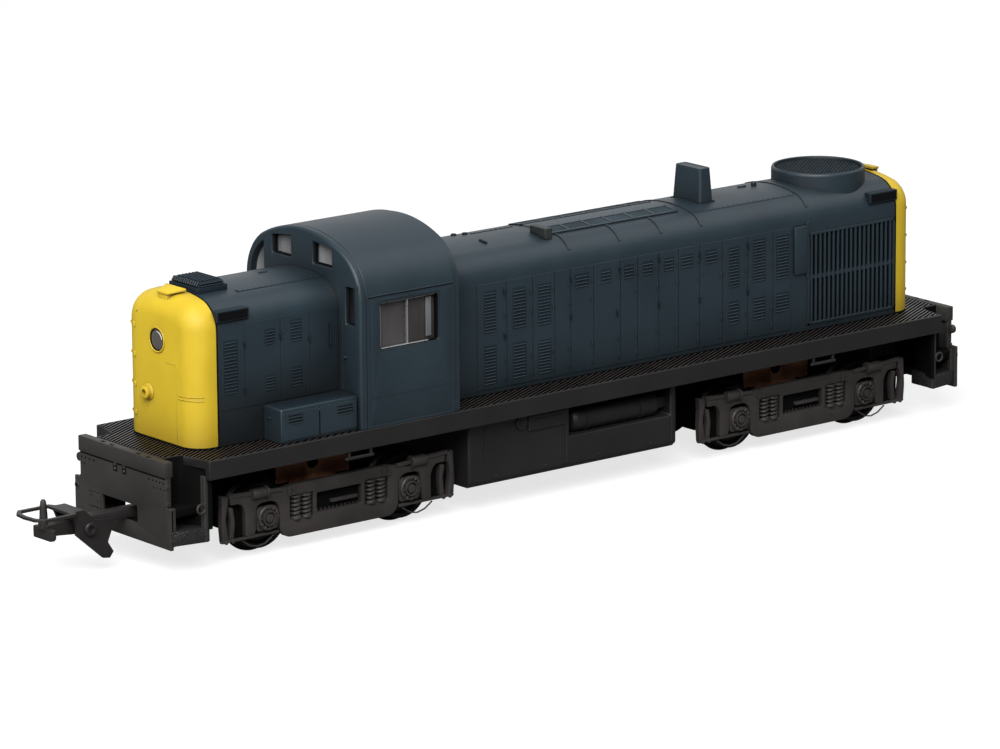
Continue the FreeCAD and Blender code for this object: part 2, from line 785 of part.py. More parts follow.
def end_glazing(end):
    """Clear plates behind the windows of a cab end wall."""
    if end == "front":
        x = (roof_span[1] - glass_thickness, roof_span[1])
        door_side = 1
    else:
        x = (roof_span[0], roof_span[0] + glass_thickness)
        door_side = -1
    low = eave_z - tall_window_height - glass_margin
    inside = cab_solid(x, cab_wall)
    band = box(x, (-cab_half_width, cab_half_width),
               (cab_crown_z - upper_window_below_crown - upper_window_height - glass_margin,
                cab_crown_z))
    panes = [band.common(inside)]
    tall = box(x, across(-door_side, tall_window_inner - glass_margin, cab_half_width),
               (low, cab_crown_z))
    door = box(x, across(door_side, door_window_y[0] - glass_margin, cab_half_width),
               (cab_crown_z - door_window_below_crown - door_window_height - glass_margin,
                cab_crown_z))
    panes += [tall.common(inside), door.common(inside)]
    return joined(panes)


def side_glazing(side):
    """Clear insert behind a cab side window."""
    y = cab_half_width - cab_wall
    sill = deck_z + side_window_sill
    plate = box((side_window_x[0] - glass_margin, side_window_x[1] + glass_margin),
                (y - glass_thickness, y),
                (sill - glass_margin, sill + side_window_height + glass_margin))
    return plate if side == "left" else mirrored(plate)


# ---------------------------------------------------------------- underframe
def fuel_tank():
    """Box between the trucks with a recess on each side for an air tank."""
    body = box(tank_x, (-tank_half_width, tank_half_width), (tank_bottom, deck_under))
    lower = [e for e in body.Edges
             if e.BoundBox.XLength > PAST and e.CenterOfMass.z < tank_bottom + NEAR]
    recess = box(recess_x, (tank_half_width - recess_depth, tank_half_width + PAST),
                 (deck_under - recess_height, deck_under + PAST))
    return body.makeChamfer(tank_chamfer, lower).cut(on_both_sides(recess))


def air_tanks():
    """Round air tank lying in each recess of the fuel tank, held at its rear end."""
    y = tank_half_width - air_tank_radius - air_tank_gap
    z = deck_under - recess_height + air_tank_radius
    rear, front = recess_x[0] + air_tank_end_gap, recess_x[1] - air_tank_end_gap
    body = rod((rear, y, z), (front, y, z), air_tank_radius)
    half = air_tank_radius / 2
    lug = box((recess_x[0], rear + half), (y - half, y + half), (z - half, z + half))
    return Part.makeCompound(on_both_sides(joined([body, lug])))


def motor_block():
    """Motor and weight as one plain block on the deck, inside the long hood."""
    front = cab_rear - motor_gap
    return box((front - motor_length, front), (-motor_half_width, motor_half_width),
               (deck_z, deck_z + motor_height))


# ---------------------------------------------------------------- trucks
def gearbox():
    """Gear tower, axle gearbox, bolster and kingpin of one truck, about its own pivot."""
    half_base = wheelbase / 2
    trough = box((-half_base - gear_end, half_base + gear_end), (-gear_half_width, gear_half_width),
                 (axle_z - gear_below, axle_z + gear_above))
    tower = box((-tower_half_length, tower_half_length), (-tower_half_width, tower_half_width),
                (axle_z + gear_above, tower_top))
    bolster = box((-bolster_half_length, bolster_half_length), (-frame_inner, frame_inner),
                  bolster_z)
    kingpin = rod((0, 0, tower_top), (0, 0, pad_bottom + kingpin_engagement), kingpin_radius)
    bores = []
    for x in (-half_base, half_base):
        bores.append(rod((x, -gear_half_width - PAST, axle_z), (x, gear_half_width + PAST, axle_z),
                         axle_radius + running_clearance))
    return joined([trough, tower, bolster, kingpin]).cut(bores)


def contact_plates():
    """Bronze pick-up plate with a round hole on each side of the gear tower."""
    y = (tower_half_width, tower_half_width + contact_sheet)
    plate = box((-contact_half_length, contact_half_length), y,
                (axle_z + gear_above, tower_top))
    hole_z = axle_z + contact_hole
    hole = rod((0, y[0] - PAST, hole_z), (0, y[1] + PAST, hole_z), contact_hole_radius)
    return Part.makeCompound(on_both_sides(plate.cut(hole)))


def side_frame(side):
    """Cast side frame about the pivot: beams, springs, pedestals, brake gear and its rod."""
    half = [(u, axle_z + w, r) for u, w, r in FRAME_OUTLINE]
    rear_half = [(-u, z, r) for u, z, r in reversed(half[1:-1])]
    body = plate_y(half[1:-1] + rear_half, (frame_inner, frame_outer))
    window = box((-spring_window, spring_window), (frame_inner - PAST, frame_outer + PAST),
                 (axle_z + spring_low, axle_z + spring_high))
    spring_z = (axle_z + spring_low - spring_seat, axle_z + spring_high + spring_seat)
    pieces = [body.cut(window)]
    pieces.append(box((-frame_post[1], frame_post[1]), (frame_inner, frame_inner + plank_thickness),
                      (axle_z + plank_low, axle_z + plank_high)))
    for end in (1, -1):
        x = end * wheelbase / 2
        pieces.append(box((x - box_half_width, x + box_half_width),
                          (frame_inner, frame_outer + box_proud),
                          (axle_z + box_low, axle_z + box_high + spring_seat)))
        pieces.append(rod((x, frame_outer, axle_z), (x, frame_outer + cover_proud, axle_z),
                          cover_radius))
        pieces.append(octagon_bar(across(end, *brake_places), frame_outer,
                                  axle_z + brake_height, brake_radius))
        pieces.append(box(across(end, *frame_post), (frame_inner, frame_outer), spring_z))
        for u in spring_places:
            pieces.append(box((end * u - spring_radius, end * u + spring_radius),
                              (frame_inner, frame_outer), spring_z))
        pieces.append(box(across(end, *hanger_places), (frame_inner, frame_outer),
                          (axle_z + hanger_low, axle_z + hanger_high)))
        pieces.append(box(across(end, rod_front, hanger_places[0]),
                          (frame_outer - rod_thickness, frame_outer),
                          (axle_z + hanger_low, axle_z + rod_high)))
    shape = joined(pieces)
    return shape if side == "left" else mirrored(shape)


def octagon_bar(x, y, z, radius):
    """A lengthwise bar of eight flats about a line."""
    flat = radius * math.tan(math.pi / 8)
    corners = [(y + a, z + b) for a, b in
               ((radius, flat), (flat, radius), (-flat, radius), (-radius, flat),
                (-radius, -flat), (-flat, -radius), (flat, -radius), (radius, -flat))]
    return plate_x(corners, x)


def wheelset():
    """Axle with its two flanged wheels as one turned piece, about the axle's middle."""
    inner = back_to_back / 2
    flange = inner + flange_thickness
    half = [(0, axle_radius), (inner, axle_radius), (inner, tread_radius + flange_height),
            (flange, tread_radius), (wheel_outer, tread_radius), (wheel_outer, 0)]
    outline = [(-y, r) for y, r in reversed(half)] + half[1:]
    corners = [V(0, y, r) for y, r in outline]
    face = Part.Face(Part.makePolygon(corners + corners[:1]))
    return face.revolve(V(0, 0, 0), Y_DIR, 360)


def placed(shape, x, z=0.0):
    """A copy of a piece moved to its pivot or axle."""
    moved = shape.copy()
    moved.translate(V(x, 0, z))
    return moved


# ---------------------------------------------------------------- coupler
def coupler_body():
    """Shank, head block, hook plate and upright hook of the front coupler."""
    x, z = coupler_pivot_x, coupler_height
    low, high = z - shank_height / 2, z + shank_height / 2
    end = x + hook_plate_end
    rear = x + head_start
    hook_x = end - hook_setback
    pieces = [
        rod((x, 0, low), (x, 0, high), coupler_pin_radius + eye_wall),
        box((x, rear), (-shank_half_width, shank_half_width), (low, high)),
        plate_y([(rear, z - head_drop[0]), (rear, z + head_rise[0]), (end, z + head_rise[1]),
                 (end, z - head_drop[1])], (-head_half_width, head_half_width)),
        box((end - plate_thickness, end), (-plate_half_width, plate_half_width),
            (z - plate_drop, z + plate_rise)),
        rod((hook_x, 0, z), (hook_x, 0, z + hook_height), hook_radius),
        rod((loop_pivot_x, -arm_inner - arm_thickness, loop_pivot_z),
            (loop_pivot_x, arm_inner + arm_thickness, loop_pivot_z), loop_pin_radius),
    ]
    bore = rod((x, 0, low - PAST), (x, 0, high + PAST), coupler_pin_radius + running_clearance)
    return joined(pieces).cut(bore)


def loop_plan(corners, z):
    """The flat of the loop between two heights, from one side's corners seen from above."""
    half = [(coupler_pivot_x + a, b) for a, b in corners]
    return plate_z([(x, -y) for x, y in half] + [(x, y) for x, y in reversed(half[:-1])], z)


def coupler_loop():
    """Lifting loop with its two arms, and the trip lever on the left one."""
    x, z = loop_pivot_x, loop_pivot_z
    low = coupler_height + loop_rise
    high = low + loop_thickness
    ring = loop_plan(LOOP_PLAN, (low, high))
    pieces = [ring.cut(loop_plan(LOOP_HOLE, (low - PAST, high + PAST)))]
    pieces.append(plate_y([(x + a, z + b) for a, b in LEVER_PROFILE],
                          (arm_inner, arm_inner + arm_thickness)))
    for side in (1, -1):
        y = across(side, arm_inner, arm_inner + arm_thickness)
        pieces.append(plate_y([(x + a, z + b) for a, b in ARM_PROFILE], y))
    bore = rod((x, -arm_inner - arm_thickness - PAST, z), (x, arm_inner + arm_thickness + PAST, z),
               loop_pin_radius + running_clearance)
    return joined(pieces).cut(bore)


# ---------------------------------------------------------------- build
def build():
    os.makedirs("parts", exist_ok=True)
    save("deck", deck())
    save("short_hood", hood_shell((cab_front, short_hood_front)))
    save("long_hood", long_hood())
    save("fan_shroud", fan_shroud())
    save("fan_guard", fan_guard())
    save("exhaust_stack", exhaust_stack())
    save("vent_box", vent_box())
    save("roof_screens", roof_screens())
    save("horn_box", horn_box())
    save("cab_roof", cab_roof())
    save("fuel_tank", fuel_tank())
    save("air_tanks", air_tanks())
    save("motor_block", motor_block())
    for end in ("front", "rear"):
        save("pilot_" + end, pilot(end))
        save("coupler_pocket_" + end, coupler_pocket(end))
        save("nose_" + end, nose(end))
        save("porthole_lens_" + end, porthole_lens(end))
        save("number_boards_" + end, number_boards(end))
        save("cab_wall_" + end, cab_end_wall(end))
        save("cab_glazing_" + end, end_glazing(end))
    for side in SIDES:
        save("cab_side_" + side, cab_side(side))
        save("side_glazing_" + side, side_glazing(side))
        save("radiator_grille_" + side, radiator_grille(side))
        save("engine_doors_" + side, engine_doors(side))
        save("battery_locker_" + side, locker(side))
    for end, pivot in TRUCKS.items():
        save("truck_gearbox_" + end, placed(gearbox(), pivot))
        save("contact_plates_" + end, placed(contact_plates(), pivot))
        for side in SIDES:
            save("truck_frame_%s_%s" % (end, side), placed(side_frame(side), pivot))
        for place, offset in (("lead", wheelbase / 2), ("trail", -wheelbase / 2)):
            save("wheelset_%s_%s" % (end, place), placed(wheelset(), pivot + offset, axle_z))
    save("coupler_body", coupler_body())
    save("coupler_loop", coupler_loop())


build()
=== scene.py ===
import math

import bmesh
import bpy
from mathutils import Matrix, Vector


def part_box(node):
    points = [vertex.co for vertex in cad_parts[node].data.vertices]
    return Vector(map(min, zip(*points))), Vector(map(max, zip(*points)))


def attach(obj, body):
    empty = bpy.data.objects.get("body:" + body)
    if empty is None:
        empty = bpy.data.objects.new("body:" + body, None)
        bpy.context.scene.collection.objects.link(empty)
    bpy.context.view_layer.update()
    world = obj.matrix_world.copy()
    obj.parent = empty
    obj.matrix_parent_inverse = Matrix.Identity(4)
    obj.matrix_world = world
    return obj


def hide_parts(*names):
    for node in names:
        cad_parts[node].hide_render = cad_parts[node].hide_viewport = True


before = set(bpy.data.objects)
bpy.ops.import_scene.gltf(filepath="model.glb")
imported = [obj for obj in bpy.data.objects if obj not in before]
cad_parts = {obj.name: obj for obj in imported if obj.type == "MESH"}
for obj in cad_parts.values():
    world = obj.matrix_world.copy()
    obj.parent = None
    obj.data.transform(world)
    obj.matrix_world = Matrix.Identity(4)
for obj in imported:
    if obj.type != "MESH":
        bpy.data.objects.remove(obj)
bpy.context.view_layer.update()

# ---- The studio -------------------------------------------------------------------------
# A pale sheet under the model and soft boxes over and beside it, as for a small product on a
# table. The camera has a long lens, so that the model's lines stay almost parallel.
MM = 0.001


def linear(colour):
    """An sRGB hex colour as linear red, green, blue and alpha."""
    parts = [int(colour[n:n + 2], 16) / 255 for n in (1, 3, 5)]
    return [c / 12.92 if c <= 0.04045 else ((c + 0.055) / 1.055) ** 2.4 for c in parts] + [1.0]


def add(tree, kind, inputs=(), **settings):
    """Adds one node. Inputs are pairs of a socket and the value or the socket that feeds it."""
    node = tree.nodes.new("ShaderNode" + kind)
    for name, value in settings.items():
        setattr(node, name, value)
    for socket, value in inputs:
        if isinstance(value, bpy.types.NodeSocket):
            tree.links.new(value, node.inputs[socket])
        else:
            node.inputs[socket].default_value = value
    return node


def new_material(name):
    """An empty node material and its tree."""
    made = bpy.data.materials.new(name)
    made.use_nodes = True
    made.node_tree.nodes.clear()
    return made, made.node_tree


scene = bpy.context.scene
scene.view_settings.view_transform = "Standard"

camera_data = bpy.data.cameras.new("camera")
camera_data.lens = 206.9
camera_data.sensor_width = 36.0
camera_data.clip_start = 0.05
camera_data.clip_end = 20.0
camera = bpy.data.objects.new("camera", camera_data)
scene.collection.objects.link(camera)
azimuth, elevation, roll = math.radians(141.4365), math.radians(13.7103), math.radians(-0.4243)
back = Vector((math.sin(azimuth) * math.cos(elevation), -math.cos(azimuth) * math.cos(elevation),
               math.sin(elevation)))
right = Vector((0, 0, 1)).cross(back).normalized()
up = back.cross(right)
tilted_right = right * math.cos(roll) + up * math.sin(roll)
tilted_up = up * math.cos(roll) - right * math.sin(roll)
camera.matrix_world = Matrix.Translation(Vector((608.73, 766.1, 258.7)) * MM) @ Matrix(
    (tilted_right, tilted_up, back)).transposed().to_4x4()
scene.camera = camera

sheet_mesh = bmesh.new()
bmesh.ops.create_grid(sheet_mesh, x_segments=1, y_segments=1, size=4.0,
                      matrix=Matrix.Translation((0, 0, -0.02 * MM)))
floor_data = bpy.data.meshes.new("floor")
sheet_mesh.to_mesh(floor_data)
floor = bpy.data.objects.new("floor", floor_data)
scene.collection.objects.link(floor)
paper, tree = new_material("matt_white_paper")
# The sheet is lit from below as a light table is, and throws little light back up at the model.
path = add(tree, "LightPath")
tint = add(tree, "Mix", [("Factor", path.outputs["Is Camera Ray"]), (6, linear("#6c6c6b")),
                         (7, linear("#f6f6f5"))], data_type="RGBA")
matt = add(tree, "BsdfDiffuse", [("Color", tint.outputs[2])])
glow = add(tree, "Emission", [("Color", linear("#ffffff")), ("Strength", 1.1)])
share = add(tree, "Math", [(0, path.outputs["Is Camera Ray"]), (1, 0.68)], operation="MULTIPLY")
mixed = add(tree, "MixShader", [(0, share.outputs[0]), (1, matt.outputs[0]), (2, glow.outputs[0])])
add(tree, "OutputMaterial", [("Surface", mixed.outputs[0])])
floor_data.materials.append(paper)

world = bpy.data.worlds.new("studio")
world.use_nodes = True
scene.world = world
tree = world.node_tree
tree.nodes.clear()
# A white wall stands behind the model, and the room on the other side is dim.
path = add(tree, "LightPath")
toward = add(tree, "VectorMath", [(0, add(tree, "TexCoord").outputs["Generated"]),
                                  (1, (-0.62, -0.78, 0.0))], operation="DOT_PRODUCT")
wall = add(tree, "MapRange", [("Value", toward.outputs["Value"]), ("From Min", 0.2),
                              ("From Max", 0.95), ("To Min", 0.1), ("To Max", 1.0)],
           interpolation_type="SMOOTHSTEP")
seen = add(tree, "Background", [("Color", linear("#ffffff")), ("Strength", 1.0)])
around = add(tree, "Background", [("Color", linear("#f4f6f8")), ("Strength", wall.outputs[0])])
mixed = add(tree, "MixShader", [(0, path.outputs["Is Camera Ray"]), (1, around.outputs[0]),
                                (2, seen.outputs[0])])
add(tree, "OutputWorld", [("Surface", mixed.outputs[0])])

SOFT_BOXES = [  # name, place in metres, size in metres, watts
    ("key", (0.6, 0.75, 0.8), 0.8, 16.3),
    ("over_left", (0.75, 0.2, 0.95), 0.9, 7.5),
    ("over_right", (-0.8, 0.35, 0.95), 1.1, 4.0),
    ("front", (0.9, 0.1, 0.35), 0.6, 2.0),
]
for name, place, size, watts in SOFT_BOXES:
    lamp_data = bpy.data.lights.new(name, "AREA")
    lamp_data.shape = "DISK"
    lamp_data.size = size
    lamp_data.energy = watts
    lamp = bpy.data.objects.new(name, lamp_data)
    scene.collection.objects.link(lamp)
    aim = (Vector(place) - Vector((0, 0, 0.02))).to_track_quat("Z", "Y")
    lamp.matrix_world = Matrix.Translation(place) @ aim.to_matrix().to_4x4()

# ---- Wheels -----------------------------------------------------------------------------
# Four axles, each with two turned brass wheels, plated dark. The wheels have a flange inside,
# a tread that the rail has rubbed bright, a dished web and a hub. They are pressed on the axle.
nickel, tree = new_material("dark_plated_brass_turned")
spot = add(tree, "TexCoord").outputs["Object"]
# Turning leaves fine rings round the axle, 0.08 mm apart, that spread its shine along them.
rings = add(tree, "TexWave", [("Vector", spot), ("Scale", 4000.0), ("Distortion", 1.5)],
            wave_type="BANDS", bands_direction="Y")
wear = add(tree, "TexNoise", [("Vector", spot), ("Scale", 900.0), ("Detail", 3.0)])
tone = add(tree, "ValToRGB", [(0, wear.outputs[0])])
tone.color_ramp.elements[0].color = linear("#0d0c0c")
tone.color_ramp.elements[1].color = linear("#1f1d1c")
bumps = add(tree, "Bump", [("Height", rings.outputs[0]), ("Strength", 0.1),
                           ("Distance", 0.02 * MM)])
skin = add(tree, "BsdfPrincipled", [("Base Color", tone.outputs[0]), ("Metallic", 0.6),
                                    ("Roughness", 0.42), ("Normal", bumps.outputs[0])])
add(tree, "OutputMaterial", [("Surface", skin.outputs[0])])


def corners(node):
    """A frame node's lowest and highest corners in millimetres."""
    low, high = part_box(node)
    return low / MM, high / MM


def turn(mesh, profile, centre, direction, steps=48):
    """Spins a profile of distances along an axis and radii into a closed turned form."""
    centre, direction = Vector(centre), Vector(direction).normalized()
    side = direction.orthogonal().normalized()
    part = bmesh.new()
    points = [part.verts.new(centre + direction * a + side * r) for a, r in profile]
    lines = [part.edges.new(pair) for pair in zip(points, points[1:])]
    bmesh.ops.spin(part, geom=points + lines, cent=centre, axis=direction, dvec=(0, 0, 0),
                   angle=math.tau, steps=steps, use_merge=True, use_duplicate=False)
    bmesh.ops.remove_doubles(part, verts=part.verts, dist=0.001)
    bmesh.ops.recalc_face_normals(part, faces=part.faces)
    put_in(mesh, part)


def put_in(mesh, part):
    """Moves a finished part into a larger mesh."""
    holder = bpy.data.meshes.new("holder")
    part.to_mesh(holder)
    part.free()
    mesh.from_mesh(holder)
    bpy.data.meshes.remove(holder)


def piece(name, mesh, body, finish, stands_for=(), soften=0.0, sharp=32, base=(0, 0, 0)):
    """Makes a piece drawn in millimetres ride on a body; soften rounds its sharp edges over."""
    bmesh.ops.translate(mesh, vec=base, verts=mesh.verts)
    bmesh.ops.scale(mesh, vec=(MM, MM, MM), verts=mesh.verts)
    data = bpy.data.meshes.new(name)
    mesh.to_mesh(data)
    mesh.free()
    data.polygons.foreach_set("use_smooth", [True] * len(data.polygons))
    data.set_sharp_from_angle(angle=math.radians(sharp))
    data.materials.append(finish)
    made = bpy.data.objects.new(name, data)
    scene.collection.objects.link(made)
    if soften:
        round_over = made.modifiers.new("edges", "BEVEL")
        round_over.width = soften * MM
        round_over.segments = 2
        round_over.limit_method = "ANGLE"
        round_over.angle_limit = math.radians(sharp)
    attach(made, body)
    if stands_for:
        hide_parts(*stands_for)


WHEEL_STEPS = 64
WHEEL = [  # distance from the middle of the axle, radius
    (0.0, 1.0), (6.9, 1.0), (7.0, 2.1), (7.25, 2.3), (7.3, 4.7), (7.2, 5.3), (7.25, 6.35),
    (7.45, 6.6), (7.65, 6.5), (7.95, 5.85), (8.1, 5.8), (9.85, 5.72), (10.0, 5.6), (10.0, 5.0),
    (9.8, 4.8), (9.35, 4.5), (9.2, 2.6), (9.55, 2.3), (9.9, 2.1), (10.0, 1.9), (10.0, 0.0),
]
for end in ("front", "rear"):
    for place in ("lead", "trail"):
        node = "wheelset_%s_%s" % (end, place)
        low, high = corners(node)
        centre = (low + high) / 2
        mesh = bmesh.new()
        for way in (1, -1):
            turn(mesh, WHEEL, centre, (0, way, 0), WHEEL_STEPS)
        bmesh.ops.remove_doubles(mesh, verts=mesh.verts, dist=0.001)
        piece("turned_wheels_%s_%s" % (end, place), mesh, "wheels_%s_%s" % (end, place), nickel,
              [node], sharp=40)

# ---- Gear towers and pick-up plates ------------------------------------------------------
# Each truck is carried by a black moulded gear tower with a bolster across it. A thin spring
# plate of phosphor bronze on each side picks up the current, and has a round hole punched in it.


def moulded_plastic(name, light, dark, rough, grain=0.5, shine=0.5):
    """Moulded plastic with a fine etched grain that breaks up its soft shine."""
    made, tree = new_material(name)
    spot = add(tree, "TexCoord").outputs["Object"]
    # The mould's etched grain is about 0.15 mm across, drawn as 0.3 mm so that it shows.
    fine = add(tree, "TexNoise", [("Vector", spot), ("Scale", 3300.0), ("Detail", 2.0)])
    broad = add(tree, "TexNoise", [("Vector", spot), ("Scale", 120.0), ("Detail", 3.0)])
    tone = add(tree, "ValToRGB", [(0, broad.outputs[0])])
    tone.color_ramp.elements[0].position = 0.3
    tone.color_ramp.elements[0].color = linear(dark)
    tone.color_ramp.elements[1].position = 0.7
    tone.color_ramp.elements[1].color = linear(light)
    gloss = add(tree, "MapRange", [("Value", fine.outputs[0]), ("To Min", rough - 0.06),
                                   ("To Max", rough + 0.1)])
    bumps = add(tree, "Bump", [("Height", fine.outputs[0]), ("Strength", grain * 0.25),
                               ("Distance", 0.03 * MM)])
    skin = add(tree, "BsdfPrincipled", [("Base Color", tone.outputs[0]), ("IOR", 1.5),
                                        ("Specular IOR Level", shine),
                                        ("Roughness", gloss.outputs[0]),
                                        ("Normal", bumps.outputs[0])])
    add(tree, "OutputMaterial", [("Surface", skin.outputs[0])])
    return made


# Painted shade: what lies deep inside or in a joint is drawn dull and almost black.
shade_black = moulded_plastic("black_abs_in_shadow", "#0b0b0c", "#060607", 0.8, shine=0.08)

bronze, tree = new_material("phosphor_bronze_rolled")
spot = add(tree, "TexCoord").outputs["Object"]
# Rolled sheet tarnishes in soft clouds about 4 mm across.
tarnish = add(tree, "TexNoise", [("Vector", spot), ("Scale", 260.0), ("Detail", 4.0)])
tone = add(tree, "ValToRGB", [(0, tarnish.outputs[0])])
tone.color_ramp.elements[0].position = 0.35
tone.color_ramp.elements[0].color = linear("#9a6448")
tone.color_ramp.elements[1].position = 0.65
tone.color_ramp.elements[1].color = linear("#c98f70")
# Painted highlight: a spot 4 mm wide below each plate's hole is drawn bright, for light caught by
# the plate's bend. Folding the space at the middle between the trucks puts all four in one place.
HIGHLIGHT_SPOT = Vector((52.5, 4.6, 11.0)) * MM
TRUCKS_MIDDLE = -9.875 * MM
folded = add(tree, "VectorMath", [(0, spot), (1, (TRUCKS_MIDDLE, 0.0, 0.0))],
             operation="SUBTRACT")
folded = add(tree, "VectorMath", [(0, folded.outputs[0])], operation="ABSOLUTE")
away = add(tree, "VectorMath", [(0, folded.outputs[0]), (1, HIGHLIGHT_SPOT)], operation="DISTANCE")
painted_highlight = add(tree, "MapRange", [("Value", away.outputs["Value"]), ("From Min", 2.0 * MM),
                                ("From Max", 0.4 * MM)], interpolation_type="SMOOTHSTEP")
tone = add(tree, "Mix", [("Factor", painted_highlight.outputs[0]), (6, tone.outputs[0]),
                         (7, linear("#ffc196"))], data_type="RGBA")
skin = add(tree, "BsdfPrincipled", [("Base Color", tone.outputs[2]), ("Metallic", 0.3),
                                    ("Roughness", 0.33)])
add(tree, "OutputMaterial", [("Surface", skin.outputs[0])])


def finish_node(node, finish):
    """Gives a frame node its material."""
    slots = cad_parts[node].data.materials
    slots.clear()
    slots.append(finish)


def block(mesh, low, high, soft=0.0, turned=None, segments=1):
    """A box between two corners, its edges rounded over, turned about its middle."""
    low, high = Vector(low), Vector(high)
    part = bmesh.new()
    bmesh.ops.create_cube(part, size=1.0)
    bmesh.ops.scale(part, vec=high - low, verts=part.verts)
    if soft:
        bmesh.ops.bevel(part, geom=part.edges[:], offset=soft, affect="EDGES", segments=segments,
                        profile=0.5, material=-1)
    if turned is not None:
        bmesh.ops.rotate(part, cent=(0, 0, 0), matrix=turned, verts=part.verts)
    bmesh.ops.translate(part, vec=(low + high) / 2, verts=part.verts)
    put_in(mesh, part)


STRIP_LONG, STRIP_THICK = 2.9, 0.12
COVER_START, COVER_END, COVER_HALF = 3.7, 13.6, 4.0
for end in ("front", "rear"):
    # The gear tower is drawn in the near-black painted shade, as it lies deep under the deck.
    finish_node("truck_gearbox_" + end, shade_black)
    finish_node("contact_plates_" + end, bronze)
    # The strip runs on past the middle plate on both sides.
    mesh = bmesh.new()
    low, high = corners("contact_plates_" + end)
    for side in (1, -1):
        y = side * (high.y - 0.1)
        for rear, front in ((low.x - STRIP_LONG, low.x + 0.05),
                            (high.x - 0.05, high.x + STRIP_LONG)):
            block(mesh, (rear, y - STRIP_THICK / 2, low.z + 0.4),
                  (front, y + STRIP_THICK / 2, high.z - 0.1), 0.04)
    piece("contact_strips_" + end, mesh, "truck_" + end, bronze)
    # Covers over the gears between the tower and each axle, in the near-black painted shade.
    mesh = bmesh.new()
    for rear, front in ((low.x - COVER_END, low.x - COVER_START),
                        (high.x + COVER_START, high.x + COVER_END)):
        block(mesh, (rear, -COVER_HALF, low.z - 0.2), (front, COVER_HALF, high.z - 1.8), 0.5,
              segments=2)
    piece("gear_covers_" + end, mesh, "truck_" + end, shade_black)

# ---- Truck side frames -------------------------------------------------------------------
# Each is one moulding: a deep beam with a jaw over each axle box, two pairs of coil springs, the
# bolster's end in a window between them, brake cylinders, shoes and rods, and a wire strap below.


def rod(mesh, start, end, radius, steps=24, soft=0.0):
    """A round bar from one point to another, its ends rounded over by soft."""
    start, end = Vector(start), Vector(end)
    part = bmesh.new()
    aim = (end - start).to_track_quat("Z", "Y").to_matrix().to_4x4()
    bmesh.ops.create_cone(part, cap_ends=True, cap_tris=False, segments=steps, radius1=radius,
                          radius2=radius, depth=(end - start).length,
                          matrix=Matrix.Translation((start + end) / 2) @ aim)
    if soft:
        rims = [e for e in part.edges if len(e.link_faces) == 2
                and any(len(f.verts) > 4 for f in e.link_faces)]
        bmesh.ops.bevel(part, geom=rims, offset=soft, affect="EDGES", segments=2, profile=0.5,
                        material=-1)
    put_in(mesh, part)


def wire(mesh, points, radius):
    """A round wire along points, closed at both ends."""
    line = bpy.data.curves.new("wire", "CURVE")
    line.dimensions = "3D"
    line.bevel_depth = radius
    line.bevel_resolution = 1
    line.use_fill_caps = True
    run = line.splines.new("POLY")
    run.points.add(len(points) - 1)
    for point, place in zip(run.points, points):
        point.co = (*place, 1.0)
    holder = bpy.data.objects.new("wire", line)
    scene.collection.objects.link(holder)
    shape = bpy.data.meshes.new_from_object(holder)
    mesh.from_mesh(shape)
    bpy.data.objects.remove(holder)
    bpy.data.meshes.remove(shape)
    bpy.data.curves.remove(line)


def plate(mesh, outline, lay, depth, holes=(), soft=0.0):
    """A flat plate with holes. Corners are (a, b, radius); lay puts (a, b, c) into the model."""
    part = bmesh.new()
    for ring in (outline, *holes):
        points = [part.verts.new((c[0], c[1], depth[0])) for c in ring]
        part.faces.new(points)
        for radius in sorted({c[2] for c in ring if len(c) > 2 and c[2]}):
            chosen = [p for p, c in zip(points, ring) if len(c) > 2 and c[2] == radius]
            bmesh.ops.bevel(part, geom=chosen, offset=radius, affect="VERTICES", segments=6,
                            profile=0.5, material=-1)
    if holes:
        bmesh.ops.delete(part, geom=part.faces[:], context="FACES_ONLY")
        bmesh.ops.triangle_fill(part, edges=part.edges[:], use_beauty=True, use_dissolve=False)
    grown = bmesh.ops.extrude_face_region(part, geom=part.faces[:])
    bmesh.ops.translate(part, vec=(0, 0, depth[1] - depth[0]),
                        verts=[g for g in grown["geom"] if isinstance(g, bmesh.types.BMVert)])
    if soft:
        edges = [e for e in part.edges if e.calc_face_angle(0.0) > math.radians(40)]
        bmesh.ops.bevel(part, geom=edges, offset=soft, affect="EDGES", segments=2, profile=0.5,
                        material=-1)
    for vertex in part.verts:
        vertex.co = lay(*vertex.co)
    bmesh.ops.recalc_face_normals(part, faces=part.faces)
    put_in(mesh, part)


def coil(mesh, centre, radius, low, high, turns, gauge):
    """A coil spring: a wire's section wound up an upright axis."""
    part = bmesh.new()
    bmesh.ops.create_circle(part, cap_ends=False, segments=7, radius=gauge,
                            matrix=Matrix.Translation((centre[0] + radius, centre[1], low))
                            @ Matrix.Rotation(math.pi / 2, 4, "X"))
    bmesh.ops.spin(part, geom=part.verts[:] + part.edges[:], cent=(*centre, low), axis=(0, 0, 1),
                   dvec=(0, 0, (high - low) / (turns * 14)), angle=math.tau * turns,
                   steps=turns * 14, use_merge=False, use_duplicate=False)
    bmesh.ops.holes_fill(part, edges=part.edges, sides=0)
    bmesh.ops.recalc_face_normals(part, faces=part.faces)
    put_in(mesh, part)


# Acetal is a little waxy, and it has dulled to a brownish black.
truck_plastic = moulded_plastic("black_acetal_moulded", "#3b3735", "#2a2726", 0.5, 0.8)

